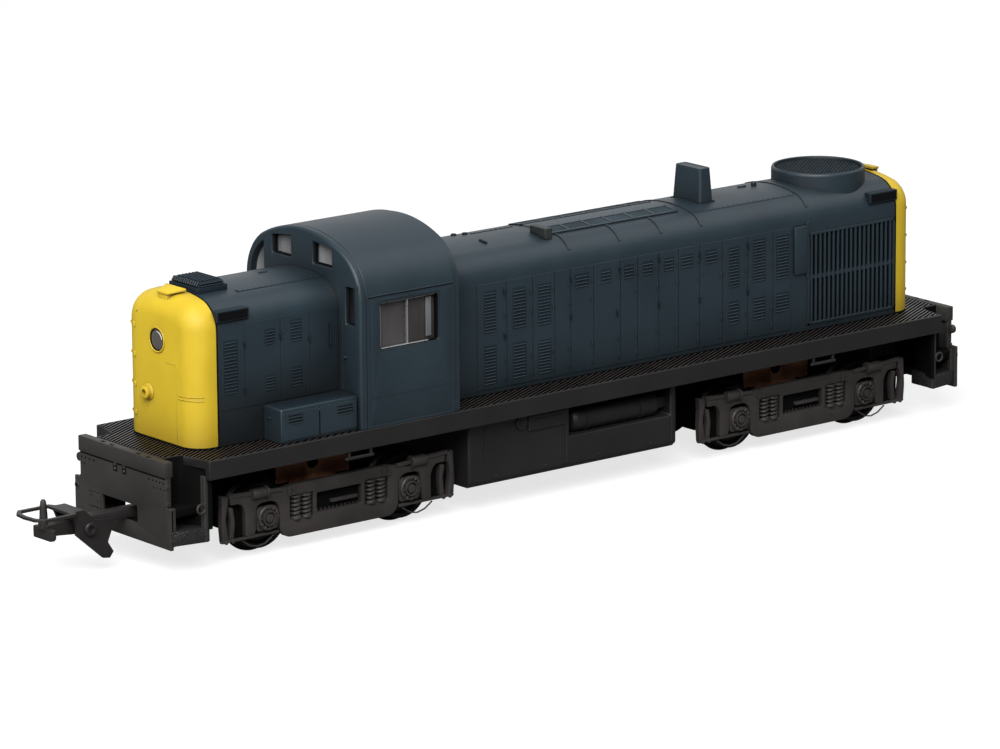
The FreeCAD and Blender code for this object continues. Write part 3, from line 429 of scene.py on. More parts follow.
AXLE_OUT, SPRINGS_OUT, SPRING_LOW, SPRING_HIGH = 15.1, (6.85, 9.0), -1.05, 2.5
LATTICE_BARS, BARS_APART, COVER_RIBS = 18, 0.86, 12
FRAME_HALF = [  # ahead of the pivot, above the axle, corner radius
    (0.0, -4.2, 0), (12.6, -4.2, 2.4), (12.6, 0.6, 0.3), (12.75, 2.0, 1.0), (14.0, 2.75, 0.6),
    (16.4, 2.75, 0.6), (17.4, 2.3, 0.5), (17.6, -1.6, 0.3), (17.9, -2.6, 0.2), (19.7, -2.6, 0.2),
    (19.7, 1.9, 0.8), (20.6, 3.35, 0.7), (22.7, 3.35, 0.2), (22.9, 4.95, 0.3), (19.0, 4.6, 0.8),
    (15.0, 3.75, 0.6), (12.0, 4.55, 0.8), (10.0, 4.85, 0.4), (0.0, 4.85, 0),
]
SPRING_GAP = [(5.5, -1.35, 0.25), (10.4, -1.35, 0.7), (10.4, 2.9, 0.5), (5.5, 2.9, 0.25)]
BOLSTER_GAP = [(-4.75, -0.9, 0.25), (4.75, -0.9, 0.25), (4.75, 2.55, 0.25), (-4.75, 2.55, 0.25)]


def side_frame(name, end, side):
    """One side frame about its truck's pivot; side is 1 for the left and -1 for the right."""
    node = "truck_frame_%s_%s" % (end, name)
    low, high = corners(node)
    pivot = (low.x + high.x) / 2
    axle = sum(corner.z for corner in corners("wheelset_%s_lead" % end)) / 2
    inner = min(abs(low.y), abs(high.y))
    face = inner + 1.2
    mesh = bmesh.new()

    def upright(a, b, c):
        return Vector((pivot + a, side * c, axle + b))

    outline = FRAME_HALF[1:-1] + [(-a, b, r) for a, b, r in reversed(FRAME_HALF[1:-1])]
    gaps = [BOLSTER_GAP, SPRING_GAP, [(-a, b, r) for a, b, r in reversed(SPRING_GAP)]]
    plate(mesh, outline, upright, (inner, face), gaps, soft=0.14)
    # Backs of the spring pockets.
    for way in (1, -1):
        plate(mesh, [(way * 5.3, -1.5), (way * 10.6, -1.5), (way * 10.6, 3.0), (way * 5.3, 3.0)],
              upright, (inner - 0.3, inner + 0.1))
    # The bolster's end is a lattice of bars on both diagonals, behind a light ledge.
    for lean in (1, -1):
        for step in range(LATTICE_BARS):
            start = -7.3 + BARS_APART * step
            ends = [max(-4.75, min(4.75, start + lean * b)) for b in (-0.95, 2.6)]
            if ends[0] != ends[1]:
                wire(mesh, [upright(a, lean * (a - start), inner - 0.15) for a in ends], 0.1)
    plate(mesh, [(-4.3, 0.15), (1.3, 0.15), (1.3, 0.7), (-4.3, 0.7)], upright,
          (inner - 0.1, inner + 0.7), soft=0.08)
    for way in (1, -1):
        for a in SPRINGS_OUT:
            foot = upright(way * a, 0, inner + 0.72)
            coil(mesh, (foot.x, foot.y), 0.68, axle + SPRING_LOW, axle + SPRING_HIGH, 5, 0.27)
            for b in (-1.3, 2.45):
                rod(mesh, upright(way * a, b, inner + 0.7), upright(way * a, b + 0.35, inner + 0.7),
                    1.0, steps=20, soft=0.06)
            rod(mesh, upright(way * a, -1.2, inner + 0.6), upright(way * a, 2.6, inner + 0.6),
                0.4, steps=10)
        # Spring cap with two nuts on the frame's top edge.
        plate(mesh, [(way * 9.2, 3.0, 0.2), (way * 10.9, 3.0, 0.2), (way * 10.9, 4.75, 0.2),
                     (way * 9.2, 4.75, 0.2)], upright, (face - 0.1, face + 0.25), soft=0.08)
        for b in (3.45, 4.3):
            rod(mesh, upright(way * 10.05, b, face + 0.2), upright(way * 10.05, b, face + 0.55),
                0.32, steps=6)
        rod(mesh, upright(way * 7.0, -2.75, face - 0.1), upright(way * 7.0, -2.75, face + 0.12),
            0.22, steps=10)
        # Axle box and its ribbed round cover.
        x = way * AXLE_OUT
        plate(mesh, [(x - 2.15, -2.2, 0.5), (x + 2.15, -2.2, 0.5), (x + 2.2, 1.9, 0.9),
                     (x - 2.2, 1.9, 0.9)], upright, (inner, face - 0.1), soft=0.12)
        turn(mesh, [(0.0, 2.15), (0.45, 2.15), (0.6, 2.0), (0.6, 1.7), (0.25, 1.6), (0.25, 1.42),
                    (0.85, 1.34), (0.85, 1.1), (0.35, 1.02), (0.35, 0.8), (0.75, 0.72),
                    (0.8, 0.0)],
             upright(x, 0.0, face - 0.15), (0, side, 0), 28)
        for step in range(COVER_RIBS):
            turned = math.tau * step / COVER_RIBS
            rib_at = upright(x + 1.78 * math.cos(turned), 1.78 * math.sin(turned), face + 0.33)
            rib_half = Vector((0.3, 0.22, 0.11))
            block(mesh, rib_at - rib_half, rib_at + rib_half, 0.04,
                  Matrix.Rotation(-side * turned, 3, Vector((0, side, 0))))
        # Brake cylinder over the jaw, with its flange and push rod.
        rod(mesh, upright(way * 15.6, 4.55, face), upright(way * 18.5, 4.55, face), 0.95,
            steps=24, soft=0.15)
        rod(mesh, upright(way * 15.2, 4.55, face), upright(way * 15.6, 4.55, face), 1.12,
            steps=24, soft=0.08)
        rod(mesh, upright(way * 12.2, 4.35, face - 0.2), upright(way * 15.3, 4.5, face - 0.2),
            0.45, steps=12)
        rod(mesh, upright(way * 18.4, 4.6, face - 0.3), upright(way * 23.2, 4.9, face - 0.3), 0.5,
            steps=12)
        # Hangers, shoe and the rail along the bottom, with a wire strap below.
        plate(mesh, [(way * 23.3, -3.0, 0.3), (way * 24.5, -3.0, 0.3), (way * 24.75, 0.0, 0.6),
                     (way * 24.5, 4.7, 0.5), (way * 23.3, 4.9, 0.5), (way * 23.9, 1.0, 0.6)],
              upright, (inner + 0.1, face + 0.1), soft=0.1)
        plate(mesh, [(way * 22.0, -2.7, 0.3), (way * 22.9, -2.9, 0.3), (way * 22.5, 0.6, 0.4),
                     (way * 23.0, 2.8, 0.3), (way * 22.1, 2.9, 0.3), (way * 21.7, 0.2, 0.5)],
              upright, (inner - 0.2, face - 0.3), soft=0.1)
        plate(mesh, [(way * 12.8, -3.05, 0.1), (way * 24.7, -3.05, 0.2), (way * 24.7, -2.6, 0.2),
                     (way * 12.8, -2.6, 0.1)], upright, (face - 0.75, face - 0.05), soft=0.08)
        for a in (22.4, 23.8):
            rod(mesh, upright(way * a, -2.85, face - 0.2), upright(way * a, -2.85, face + 0.2),
                0.38, steps=12, soft=0.08)
        plate(mesh, [(way * 23.3, 3.1, 0.2), (way * 24.6, 3.1, 0.2), (way * 24.6, 5.2, 0.4),
                     (way * 23.3, 5.0, 0.4)], upright, (inner, face), soft=0.12)
        strap = [(13.2, -2.9), (14.2, -3.7), (15.5, -4.5), (17.0, -4.75), (18.6, -4.35),
                 (20.2, -3.3)]
        wire(mesh, [upright(way * a, b, face - 0.45) for a, b in strap], 0.14)
    piece("side_frame_%s_%s" % (end, name), mesh, "truck_" + end, truck_plastic,
          [node])
    # Dark sheets of painted shade behind the bolster's window and the brake hangers.
    mesh = bmesh.new()
    plate(mesh, [(-5.0, -1.3), (5.0, -1.3), (5.0, 2.9), (-5.0, 2.9)], upright,
          (inner - 0.6, inner - 0.2))
    for way in (1, -1):
        plate(mesh, [(way * 19.3, -2.9), (way * 23.9, -2.9), (way * 24.2, 3.2), (way * 19.3, 2.6)],
              upright, (inner - 0.6, inner - 0.25))
    piece("side_frame_backs_%s_%s" % (end, name), mesh, "truck_" + end, shade_black)


for end in ("front", "rear"):
    for name, side in (("left", 1), ("right", -1)):
        side_frame(name, end, side)

# ---- Deck --------------------------------------------------------------------------------
# The walkway is one black moulding with a deep fascia along both sides. Its top has a tread
# pattern of long slanting grooves, dusty brown on the flats between, and slots by the beams.
front_frame = corners("truck_frame_front_left")
rear_frame = corners("truck_frame_rear_left")
MIDDLE = Vector(((front_frame[0].x + rear_frame[1].x) / 2, 0.0, corners("deck")[1].z))


def whole_copy(node):
    """A copy of a frame node in millimetres, with its flat faces made whole."""
    mesh = bmesh.new()
    mesh.from_mesh(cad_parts[node].data)
    bmesh.ops.scale(mesh, vec=(1 / MM, 1 / MM, 1 / MM), verts=mesh.verts)
    bmesh.ops.remove_doubles(mesh, verts=mesh.verts, dist=0.002)
    bmesh.ops.dissolve_limit(mesh, angle_limit=math.radians(1.0), verts=mesh.verts,
                             edges=mesh.edges)
    bmesh.ops.recalc_face_normals(mesh, faces=mesh.faces)
    return mesh


def dressed(name, node, body, finish, soften=0.12):
    """A piece that is a frame node's own form with its edges rounded over."""
    piece(name, whole_copy(node), body, finish, [node], soften=soften)


def flat(a, b, c):
    """Lays a plate's outline flat, seen from above; thickness upright."""
    return Vector((a, b, c))


frame_plastic = moulded_plastic("black_abs_moulded", "#1b1a1b", "#131213", 0.52)

tread_plastic, tree = new_material("black_abs_tread_plate")
spot = add(tree, "TexCoord").outputs["Object"]
slant = add(tree, "Mapping", [("Vector", spot), ("Rotation", (0.0, 0.0, math.radians(-28.5))),
                              ("Scale", (1000.0, 1000.0, 1000.0))])
# Grooves 0.4 mm wide with soft sides run right across, 0.75 mm apart. Only the flats shine.
grooves = add(tree, "TexBrick", [("Vector", slant.outputs[0]), ("Scale", 1.0),
                                 ("Mortar Size", 0.3), ("Mortar Smooth", 0.35),
                                 ("Brick Width", 400.0), ("Row Height", 0.75)], offset=0.5)
dust = add(tree, "TexNoise", [("Vector", spot), ("Scale", 170.0), ("Detail", 4.0)])
dusty = add(tree, "ValToRGB", [(0, dust.outputs[0])])
dusty.color_ramp.elements[0].position = 0.3
dusty.color_ramp.elements[0].color = linear("#231f1d")
dusty.color_ramp.elements[1].position = 0.7
dusty.color_ramp.elements[1].color = linear("#332d29")
# The grooves are painted near black as the shade in them; the flats carry brown dust.
tone = add(tree, "Mix", [("Factor", grooves.outputs["Fac"]), (6, dusty.outputs[0]),
                         (7, linear("#050404"))], data_type="RGBA")
bumps = add(tree, "Bump", [("Height", grooves.outputs["Fac"]), ("Strength", 0.8),
                           ("Distance", 0.16 * MM)], invert=True)
flats_gloss = add(tree, "MapRange", [("Value", grooves.outputs["Fac"]), ("To Min", 0.6),
                                     ("To Max", 0.0)])
skin = add(tree, "BsdfPrincipled", [("Base Color", tone.outputs[2]), ("Roughness", 0.42),
                                    ("Specular IOR Level", flats_gloss.outputs[0]),
                                    ("Normal", bumps.outputs[0])])
add(tree, "OutputMaterial", [("Surface", skin.outputs[0])])

dressed("deck_moulding", "deck", "locomotive", frame_plastic, 0.18)
TREAD_CORNER = [(82.1, -15.9, 0), (83.6, -9.3, 0.8), (87.0, -9.3, 0)]
mesh = bmesh.new()
outline = TREAD_CORNER + [(x, -y, r) for x, y, r in reversed(TREAD_CORNER)]
outline += [(-x, -y, r) for x, y, r in outline]
plate(mesh, outline, flat, (-0.4, 0.05), soft=0.04)
piece("deck_tread_plate", mesh, "locomotive", tread_plastic, base=MIDDLE)
# A small step bracket hangs from the fascia by each truck, two ears and a bar.
mesh = bmesh.new()
for side in (1, -1):
    for x in (48.4, -56.4):
        y = side * 15.9
        for a in (x, x + 4.6):
            block(mesh, (a, y - 0.3, -4.3), (a + 0.5, y + 0.3, -3.2), 0.08)
        block(mesh, (x - 0.4, y - 0.3, -4.75), (x + 5.5, y + 0.3, -4.25), 0.12)
piece("deck_brackets", mesh, "locomotive", frame_plastic, base=MIDDLE)
# Four small dark blocks in the top of each end beam stand for slots, drawn as painted shade.
mesh = bmesh.new()
for way in (1, -1):
    for x, y in ((88.2, -6.2), (88.35, -3.4), (88.45, 4.5), (88.5, 7.4)):
        block(mesh, (way * x - 0.25, way * y - 0.55, -0.3),
              (way * x + 0.25, way * y + 0.55, 0.08), 0.05)
piece("deck_slot_shades", mesh, "locomotive", shade_black, base=MIDDLE)

# ---- Pilots ------------------------------------------------------------------------------
# Each end has an upright sheet below a buffer beam, with the coupler's opening in it. On both
# sides is a step well with two treads, and a lifting eye on its post. Small rivets are moulded.


def rivet(mesh, at, radius):
    """A small round rivet head, half sunk in what it sits on."""
    part = bmesh.new()
    bmesh.ops.create_icosphere(part, subdivisions=1, radius=radius)
    bmesh.ops.translate(part, vec=at, verts=part.verts)
    put_in(mesh, part)


def ring_eye(mesh, centre, direction, radius, gauge, steps=20):
    """A round eye: a wire's section turned about an axis."""
    centre, direction = Vector(centre), Vector(direction).normalized()
    side = direction.orthogonal().normalized()
    part = bmesh.new()
    bmesh.ops.create_circle(part, cap_ends=False, segments=8, radius=gauge)
    spin_from = Matrix((side, direction, side.cross(direction))).transposed()
    bmesh.ops.transform(part, matrix=spin_from.to_4x4(), verts=part.verts)
    bmesh.ops.translate(part, vec=centre + side * radius, verts=part.verts)
    bmesh.ops.spin(part, geom=part.verts[:] + part.edges[:], cent=centre, axis=direction,
                   dvec=(0, 0, 0), angle=math.tau, steps=steps, use_merge=True,
                   use_duplicate=False)
    bmesh.ops.recalc_face_normals(part, faces=part.faces)
    put_in(mesh, part)


def across_end(a, b, c):
    """Lays a plate's outline across the loco, seen from its end; thickness along it."""
    return Vector((c, a, b))


def to_end(mesh, way, shift=0.0):
    """Turns what was made for the front end round to the rear end when way is -1."""
    if way < 0:
        bmesh.ops.rotate(mesh, cent=(0, 0, 0), matrix=Matrix.Rotation(math.pi, 3, "Z"),
                         verts=mesh.verts)
        bmesh.ops.translate(mesh, vec=(shift, 0, 0), verts=mesh.verts)


rough_plastic, tree = new_material("black_abs_pebbled")
# The steps' faces are pebbled in the mould, with grains about 0.4 mm across.
spot = add(tree, "TexCoord").outputs["Object"]
grains = add(tree, "TexVoronoi", [("Vector", spot), ("Scale", 2500.0)])
tone = add(tree, "ValToRGB", [(0, grains.outputs["Distance"])])
tone.color_ramp.elements[0].color = linear("#2c2a2b")
tone.color_ramp.elements[1].color = linear("#121112")
bumps = add(tree, "Bump", [("Height", grains.outputs["Distance"]), ("Strength", 0.8),
                           ("Distance", 0.15 * MM)], invert=True)
skin = add(tree, "BsdfPrincipled", [("Base Color", tone.outputs[0]), ("Roughness", 0.4),
                                    ("Normal", bumps.outputs[0])])
add(tree, "OutputMaterial", [("Surface", skin.outputs[0])])

# Dust from handling has dulled the ends to a greyish brown.
pilot_plastic = moulded_plastic("black_abs_dusty", "#2f2d2a", "#252321", 0.55)

SHEET_BACK, SHEET_FACE, SHEET_HALF, WELL_WALL = 88.05, 88.68, 12.5, 9.73
COUPLER_OPENING = [(-6.2, -12.05, 0.2), (4.0, -12.05, 0.2), (4.0, -9.05, 0.2),
                   (-6.2, -9.05, 0.2)]
for end, way in (("front", 1), ("rear", -1)):
    mesh = bmesh.new()
    # The sheet with its wider foot and the coupler's opening, and the beam along its top.
    plate(mesh, [(-SHEET_HALF, -2.6, 0), (-SHEET_HALF, -7.2, 0), (-14.2, -7.2, 0.2),
                 (-14.2, -14.9, 0.2), (13.6, -14.9, 0.2), (13.6, -7.8, 0.2),
                 (SHEET_HALF, -7.8, 0), (SHEET_HALF, -2.6, 0)],
          across_end, (SHEET_BACK, SHEET_FACE), [COUPLER_OPENING], soft=0.12)
    block(mesh, (87.25, -12.6, -2.65), (88.94, 12.6, 0.03), 0.18, segments=2)
    for side in (1, -1):
        # The wall at the well's front corner, the post at its rear and the upright at its front.
        block(mesh, (87.6, side * 12.1 - 0.4, -7.8), (88.3, side * 12.1 + 0.4, -2.5), 0.12)
        block(mesh, (81.65, side * 14.3 - 0.65, -14.1), (82.6, side * 14.3 + 0.65, -2.9), 0.12)
        block(mesh, (87.5, side * 13.1 - 0.5, -14.3), (88.5, side * 13.1 + 0.5, -7.75), 0.12)
    to_end(mesh, way)
    piece("pilot_sheet_" + end, mesh, "locomotive", pilot_plastic,
          ["pilot_" + end], base=MIDDLE)
    # The well's liner is its inner and rear walls in one, in near-black painted shade; its upper
    # tread has a rounded edge. A shelf in the same painted shade closes the coupler's opening from
    # below.
    mesh = bmesh.new()
    for side in (1, -1):
        plate(mesh, [(81.9, side * 15.15, 0), (83.78, side * WELL_WALL, 0.6),
                     (88.1, side * WELL_WALL, 0), (88.1, side * 8.9, 0), (83.1, side * 8.9, 0),
                     (81.2, side * 15.15, 0)], flat, (-12.0, -0.06))
        block(mesh, (82.3, side * 11.2 - 2.0, -9.7), (88.0, side * 11.2 + 2.0, -7.85), 0.45,
              segments=3)
    block(mesh, (79.0, -7.0, -12.9), (88.1, 7.0, -12.4), 0.1)
    if way < 0:
        # No coupler is fitted here, and a blank in the same painted shade closes the opening from
        # within.
        block(mesh, (87.4, -5.0, -12.6), (87.9, 8.0, -6.8), 0.1)
    to_end(mesh, way)
    piece("pilot_well_shade_" + end, mesh, "locomotive", shade_black, base=MIDDLE)
    # The lower treads are the floors of both wells.
    mesh = bmesh.new()
    for side in (1, -1):
        plate(mesh, [(81.9, side * 15.0, 0), (88.5, side * 13.85, 0), (88.5, side * 9.0, 0),
                     (81.9, side * 9.0, 0)], flat, (-14.15, -11.65), soft=0.12)
    to_end(mesh, way)
    piece("pilot_treads_" + end, mesh, "locomotive", rough_plastic, base=MIDDLE)
    dressed("coupler_box_" + end, "coupler_pocket_" + end, "locomotive", frame_plastic,
            0.1)
    # Seam strip under the beam, rivets, and the shadows round two bosses and a small cover.
    mesh = bmesh.new()
    block(mesh, (88.5, -12.4, -3.0), (88.74, 12.4, -2.7), 0.08)
    for y in (-11.9, -10.8, -9.6, -8.3, 7.6, 8.7, 9.8, 10.8, 11.8):
        rivet(mesh, (88.66, y, -3.6), 0.2)
    for y in (-12.0, -11.1, 9.0, 10.0, 11.0, 12.0):
        rivet(mesh, (88.66, y, -4.7), 0.16)
    for y in (-2.1, 0.5):
        block(mesh, (88.5, y - 0.65, -4.3), (88.72, y + 0.65, -2.7), 0.1)
    block(mesh, (88.5, -10.05, -11.75), (88.72, -6.45, -9.05), 0.08)
    for y, h in ((-9.3, -9.7), (-7.2, -10.5)):
        rivet(mesh, (88.77, y, h), 0.16)
    rod(mesh, (88.6, -13.5, -8.9), (88.74, -13.5, -8.9), 0.42, steps=16)
    to_end(mesh, way)
    piece("pilot_seams_" + end, mesh, "locomotive", shade_black, base=MIDDLE)
    # Two bosses under the beam, a small cover, the rim of an eye in the sheet and a round buffer.
    mesh = bmesh.new()
    for y in (-2.1, 0.5):
        rod(mesh, (88.5, y, -1.9), (88.5, y, -3.3), 0.42, steps=14, soft=0.1)
        rivet(mesh, (88.6, y, -3.75), 0.38)
    block(mesh, (88.5, -9.9, -11.6), (88.82, -6.6, -9.2), 0.08)
    ring_eye(mesh, (88.72, -13.5, -8.9), (1, 0, 0), 0.5, 0.12)
    rod(mesh, (87.5, -13.3, -4.0), (88.4, -13.3, -4.0), 0.8, steps=20, soft=0.2)
    for side in (1, -1):
        # Lifting eye on the post, and small lugs down the sheet's edge.
        ring_eye(mesh, (83.3, side * 14.9, -8.3), (0, 1, 0), 0.78, 0.2, 24)
        for h in (-4.2, -7.2):
            block(mesh, (88.1, side * 12.5 - 0.2, h - 0.35), (88.75, side * 12.5 + 0.2, h + 0.35),
                  0.1)
    to_end(mesh, way)
    piece("pilot_fittings_" + end, mesh, "locomotive", pilot_plastic,
          base=MIDDLE)

# ---- Fuel tank and air tanks -------------------------------------------------------------
# The fuel tank is a plain moulded box with the filler, a gauge box and two slots on its side.
# Two turned air tanks with domed ends lie in recesses along it.
dressed("fuel_tank_moulding", "fuel_tank", "locomotive", frame_plastic, 0.3)
mesh = bmesh.new()
for side in (1, -1):
    out = side * corners("fuel_tank")[1].y
    x = MIDDLE.x
    block(mesh, (x + 22.15, out - 0.1, 8.9), (x + 22.45, out + 0.12, 15.2), 0.05)
    rod(mesh, (x + 14.4, out - 0.2, 14.7), (x + 14.4, out + 0.35, 14.7), 1.25, steps=28,
        soft=0.12)
    rod(mesh, (x + 14.4, out + 0.2, 14.7), (x + 14.4, out + 0.5, 14.7), 0.65, steps=20,
        soft=0.1)
    block(mesh, (x + 4.3, out - 0.2, 12.9), (x + 12.9, out + 0.35, 15.7), 0.15)
    for a in (5.4, 9.0):
        block(mesh, (x + a, out + 0.3, 13.6), (x + a + 2.6, out + 0.42, 14.9), 0.04)
    for a in (-19.9, 4.1, 25.6):
        block(mesh, (x + a - 0.3, out - 0.15, 5.8), (x + a + 0.3, out + 0.15, 17.6), 0.1)
    for a in (-15.0, -3.0, 9.0, 20.0):
        rivet(mesh, (x + a, out, 6.2), 0.25)
piece("fuel_tank_fittings", mesh, "locomotive", frame_plastic)
# Each tank has a pipe stub at its rear end and a strap near both ends.
low, high = corners("air_tanks")
mesh = bmesh.new()
TANK_STEPS, STUB, DOME = 40, 1.7, [(0.0, 0.0), (0.05, 0.9), (0.35, 1.7), (0.9, 2.1)]
radius = (high.z - low.z) / 2
long = high.x - low.x - STUB
for side in (1, -1):
    axis = Vector((low.x + STUB, side * (high.y - radius), (low.z + high.z) / 2))
    turn(mesh, DOME + [(1.4, radius), (long - 1.4, radius)]
         + [(long - a, r) for a, r in reversed(DOME)], axis, (1, 0, 0), TANK_STEPS)
    for a in (4.0, long - 4.0):
        turn(mesh, [(a, radius - 0.1), (a, radius + 0.14), (a + 0.9, radius + 0.14),
                    (a + 0.9, radius - 0.1), (a, radius - 0.1)], axis, (1, 0, 0), TANK_STEPS)
    block(mesh, axis + Vector((-STUB, -1.0, -1.0)), axis + Vector((1.2, 1.0, 1.0)), 0.1)
piece("turned_air_tanks", mesh, "locomotive", frame_plastic, ["air_tanks"])

# ---- Hoods -------------------------------------------------------------------------------
# The two hoods are one plastic body moulding sprayed satin blue-grey. The roof curves over into
# flat sides, with raised riveted seams across it and a painted shade line where it meets the deck.


def enamel(name, light, dark, rough=0.47, shade_colour="#0a0c0e", foot=0.0, shine=0.5):
    """Sprayed model paint with fine orange peel and painted shade; foot adds painted shade at the
    deck.
    """
    made, tree = new_material(name)
    spot = add(tree, "TexCoord").outputs["Object"]
    # Spray paint on a model has an orange peel about 0.4 mm across, and clouds of tone 8 mm wide.
    peel = add(tree, "TexNoise", [("Vector", spot), ("Scale", 2500.0), ("Detail", 2.0)])
    cloud = add(tree, "TexNoise", [("Vector", spot), ("Scale", 120.0), ("Detail", 4.0)])
    tone = add(tree, "ValToRGB", [(0, cloud.outputs[0])])
    tone.color_ramp.elements[0].position = 0.3
    tone.color_ramp.elements[0].color = linear(dark)
    tone.color_ramp.elements[1].position = 0.7
    tone.color_ramp.elements[1].color = linear(light)
    # Corners less than half a millimetre deep are darkened to the shade colour, as painted shade.
    crevice = add(tree, "AmbientOcclusion", [("Distance", 0.45 * MM)], samples=8, only_local=False)
    depth = add(tree, "MapRange", [("Value", crevice.outputs["AO"]), ("From Min", 0.35),
                                   ("From Max", 0.85), ("To Min", 0.3), ("To Max", 1.0)])
    # Corners between the boxes, walls and deck, 9 mm across, are darkened as well, as painted
    # shade.
    corner = add(tree, "AmbientOcclusion", [("Distance", 9.0 * MM)], samples=8, only_local=False)
    corner_shade = add(tree, "MapRange", [("Value", corner.outputs["AO"]), ("From Min", 0.4),
                                  ("From Max", 0.95), ("To Min", 0.3), ("To Max", 1.0)])
    open_to_light = add(tree, "Math", [(0, depth.outputs[0]), (1, corner_shade.outputs[0])], operation="MULTIPLY")
    # Painted shade: the tone darkens towards the deck.
    if foot:
        level = add(tree, "SeparateXYZ", [("Vector", spot)])
        low = add(tree, "MapRange", [("Value", level.outputs["Z"]), ("From Min", 22.0 * MM),
                                     ("From Max", 36.0 * MM), ("To Min", 1.0 - foot),
                                     ("To Max", 1.0)], interpolation_type="SMOOTHSTEP")
        open_to_light = add(tree, "Math", [(0, open_to_light.outputs[0]), (1, low.outputs[0])],
                    operation="MULTIPLY")
    shaded = add(tree, "Mix", [("Factor", open_to_light.outputs[0]), (6, linear(shade_colour)),
                               (7, tone.outputs[0])], data_type="RGBA")
    gloss = add(tree, "MapRange", [("Value", cloud.outputs[0]), ("To Min", rough - 0.05),
                                   ("To Max", rough + 0.07)])
    soft_edge = add(tree, "Bevel", [("Radius", 0.12 * MM)], samples=6)
    bumps = add(tree, "Bump", [("Height", peel.outputs[0]), ("Strength", 0.06),
                               ("Distance", 0.05 * MM), ("Normal", soft_edge.outputs[0])])
    skin = add(tree, "BsdfPrincipled", [("Base Color", shaded.outputs[2]),
                                        ("Specular IOR Level", shine),
                                        ("Roughness", gloss.outputs[0]),
                                        ("Normal", bumps.outputs[0])])
    add(tree, "OutputMaterial", [("Surface", skin.outputs[0])])
    return made


blue_grey = enamel("blue_grey_spray_enamel", "#202f37", "#1b2931")
# A darker copy of the body paint: painted shade for small parts, slots and lids that sit in shade.
blue_shaded = enamel("blue_grey_spray_enamel_shaded", "#1a2932", "#142028", 0.6, shine=0.2)
# The short hood's paint darkens towards the deck, as painted shade.
blue_low = enamel("blue_grey_spray_enamel_shaded_low", "#202f37", "#1b2931", foot=0.75)
finish_node("long_hood", blue_grey)
finish_node("short_hood", blue_low)

HALF, SHOULDER, CROWN_RADIUS = 10.2, 5.0, 27.6
CROWN = corners("long_hood")[1].z - MIDDLE.z


def hood_ring(part, x, proud, foot=0.0):
    """The hood's arched section at x as a ring of edges; proud stands outside its skin."""
    high = CROWN - CROWN_RADIUS + math.sqrt((CROWN_RADIUS - SHOULDER) ** 2
                                            - (HALF - SHOULDER) ** 2)
    lean = math.asin((HALF - SHOULDER) / (CROWN_RADIUS - SHOULDER))
    points = [part.verts.new((x, HALF + proud, foot)), part.verts.new((x, HALF + proud, high))]
    part.edges.new(points)
    arcs = (((x, HALF - SHOULDER, high), math.pi / 2 - lean, 10),
            ((x, 0.0, CROWN - CROWN_RADIUS), 2 * lean, 12),
            ((x, SHOULDER - HALF, high), math.pi / 2 - lean, 10))
    last = points[1]
    for centre, angle, steps in arcs:
        swept = bmesh.ops.spin(part, geom=[last], cent=centre, axis=(1, 0, 0), angle=angle,
                               steps=steps, dvec=(0, 0, 0), use_duplicate=False)
        last = [g for g in swept["geom_last"] if isinstance(g, bmesh.types.BMVert)][0]
    foot_far = part.verts.new((x, -HALF - proud, foot))
    part.edges.new((last, foot_far))
    part.edges.new((foot_far, points[0]))


def hood_slice(mesh, x, width, proud, foot=0.0, cuts=()):
    """A thin skin over the hood's section; cuts are planes that trim it, as place and normal."""
    part = bmesh.new()
    hood_ring(part, x, proud, foot)
    bmesh.ops.remove_doubles(part, verts=part.verts, dist=0.001)
    bmesh.ops.contextual_create(part, geom=part.edges[:])
    grown = bmesh.ops.extrude_face_region(part, geom=part.faces[:])
    bmesh.ops.translate(part, vec=(width, 0, 0),
                        verts=[g for g in grown["geom"] if isinstance(g, bmesh.types.BMVert)])
    for place, normal in cuts:
        bmesh.ops.bisect_plane(part, geom=part.verts[:] + part.edges[:] + part.faces[:],
                               plane_co=place, plane_no=normal, clear_outer=True)
        bmesh.ops.holes_fill(part, edges=part.edges, sides=0)
    bmesh.ops.recalc_face_normals(part, faces=part.faces)
    put_in(mesh, part)


def crown_at(y):
    """Height of the hood's roof above the deck, y from the middle."""
    return CROWN - CROWN_RADIUS + math.sqrt(CROWN_RADIUS ** 2 - y ** 2)


def shoulder_at(y):
    """Height of the hood's skin above the deck, also on the rounded shoulder."""
    run = (HALF - SHOULDER) * CROWN_RADIUS / (CROWN_RADIUS - SHOULDER)
    if abs(y) <= run:
        return crown_at(y)
    centre = CROWN - CROWN_RADIUS + math.sqrt((CROWN_RADIUS - SHOULDER) ** 2
                                              - (HALF - SHOULDER) ** 2)
    return centre + math.sqrt(SHOULDER ** 2 - (abs(y) - HALF + SHOULDER) ** 2)


# The skins over the roof end on the shoulder, 22.85 mm above the deck.
DOWN_TO = [((0, 0, 22.85), (0, 0, -1))]
mesh = bmesh.new()
dots = bmesh.new()
for x in (-0.4, -11.8, -21.4, -30.7, -55.6):
    hood_slice(mesh, x - 0.2, 0.4, 0.16, cuts=DOWN_TO)
# Lengthwise seams with their rivets: along the short hood, behind the stack and by the cab.
for rear, front, y in ((51.2, 68.4, 5.7), (-54.9, -31.0, 6.7), (2.8, 12.0, -2.6)):
    hood_slice(mesh, rear, front - rear, 0.11, cuts=DOWN_TO + [((0, y + 0.16, 0), (0, 1, 0)),
                                                               ((0, y - 0.16, 0), (0, -1, 0))])
    count = int((front - rear) / 1.15)
    for step in range(count + 1):
        rivet(dots, (rear + (front - rear) * step / count, y - 0.3, shoulder_at(y - 0.3)), 0.17)
block(mesh, (68.2, 4.0, shoulder_at(5.0) - 0.2), (68.5, 5.8, shoulder_at(5.0) + 0.1), 0.05)
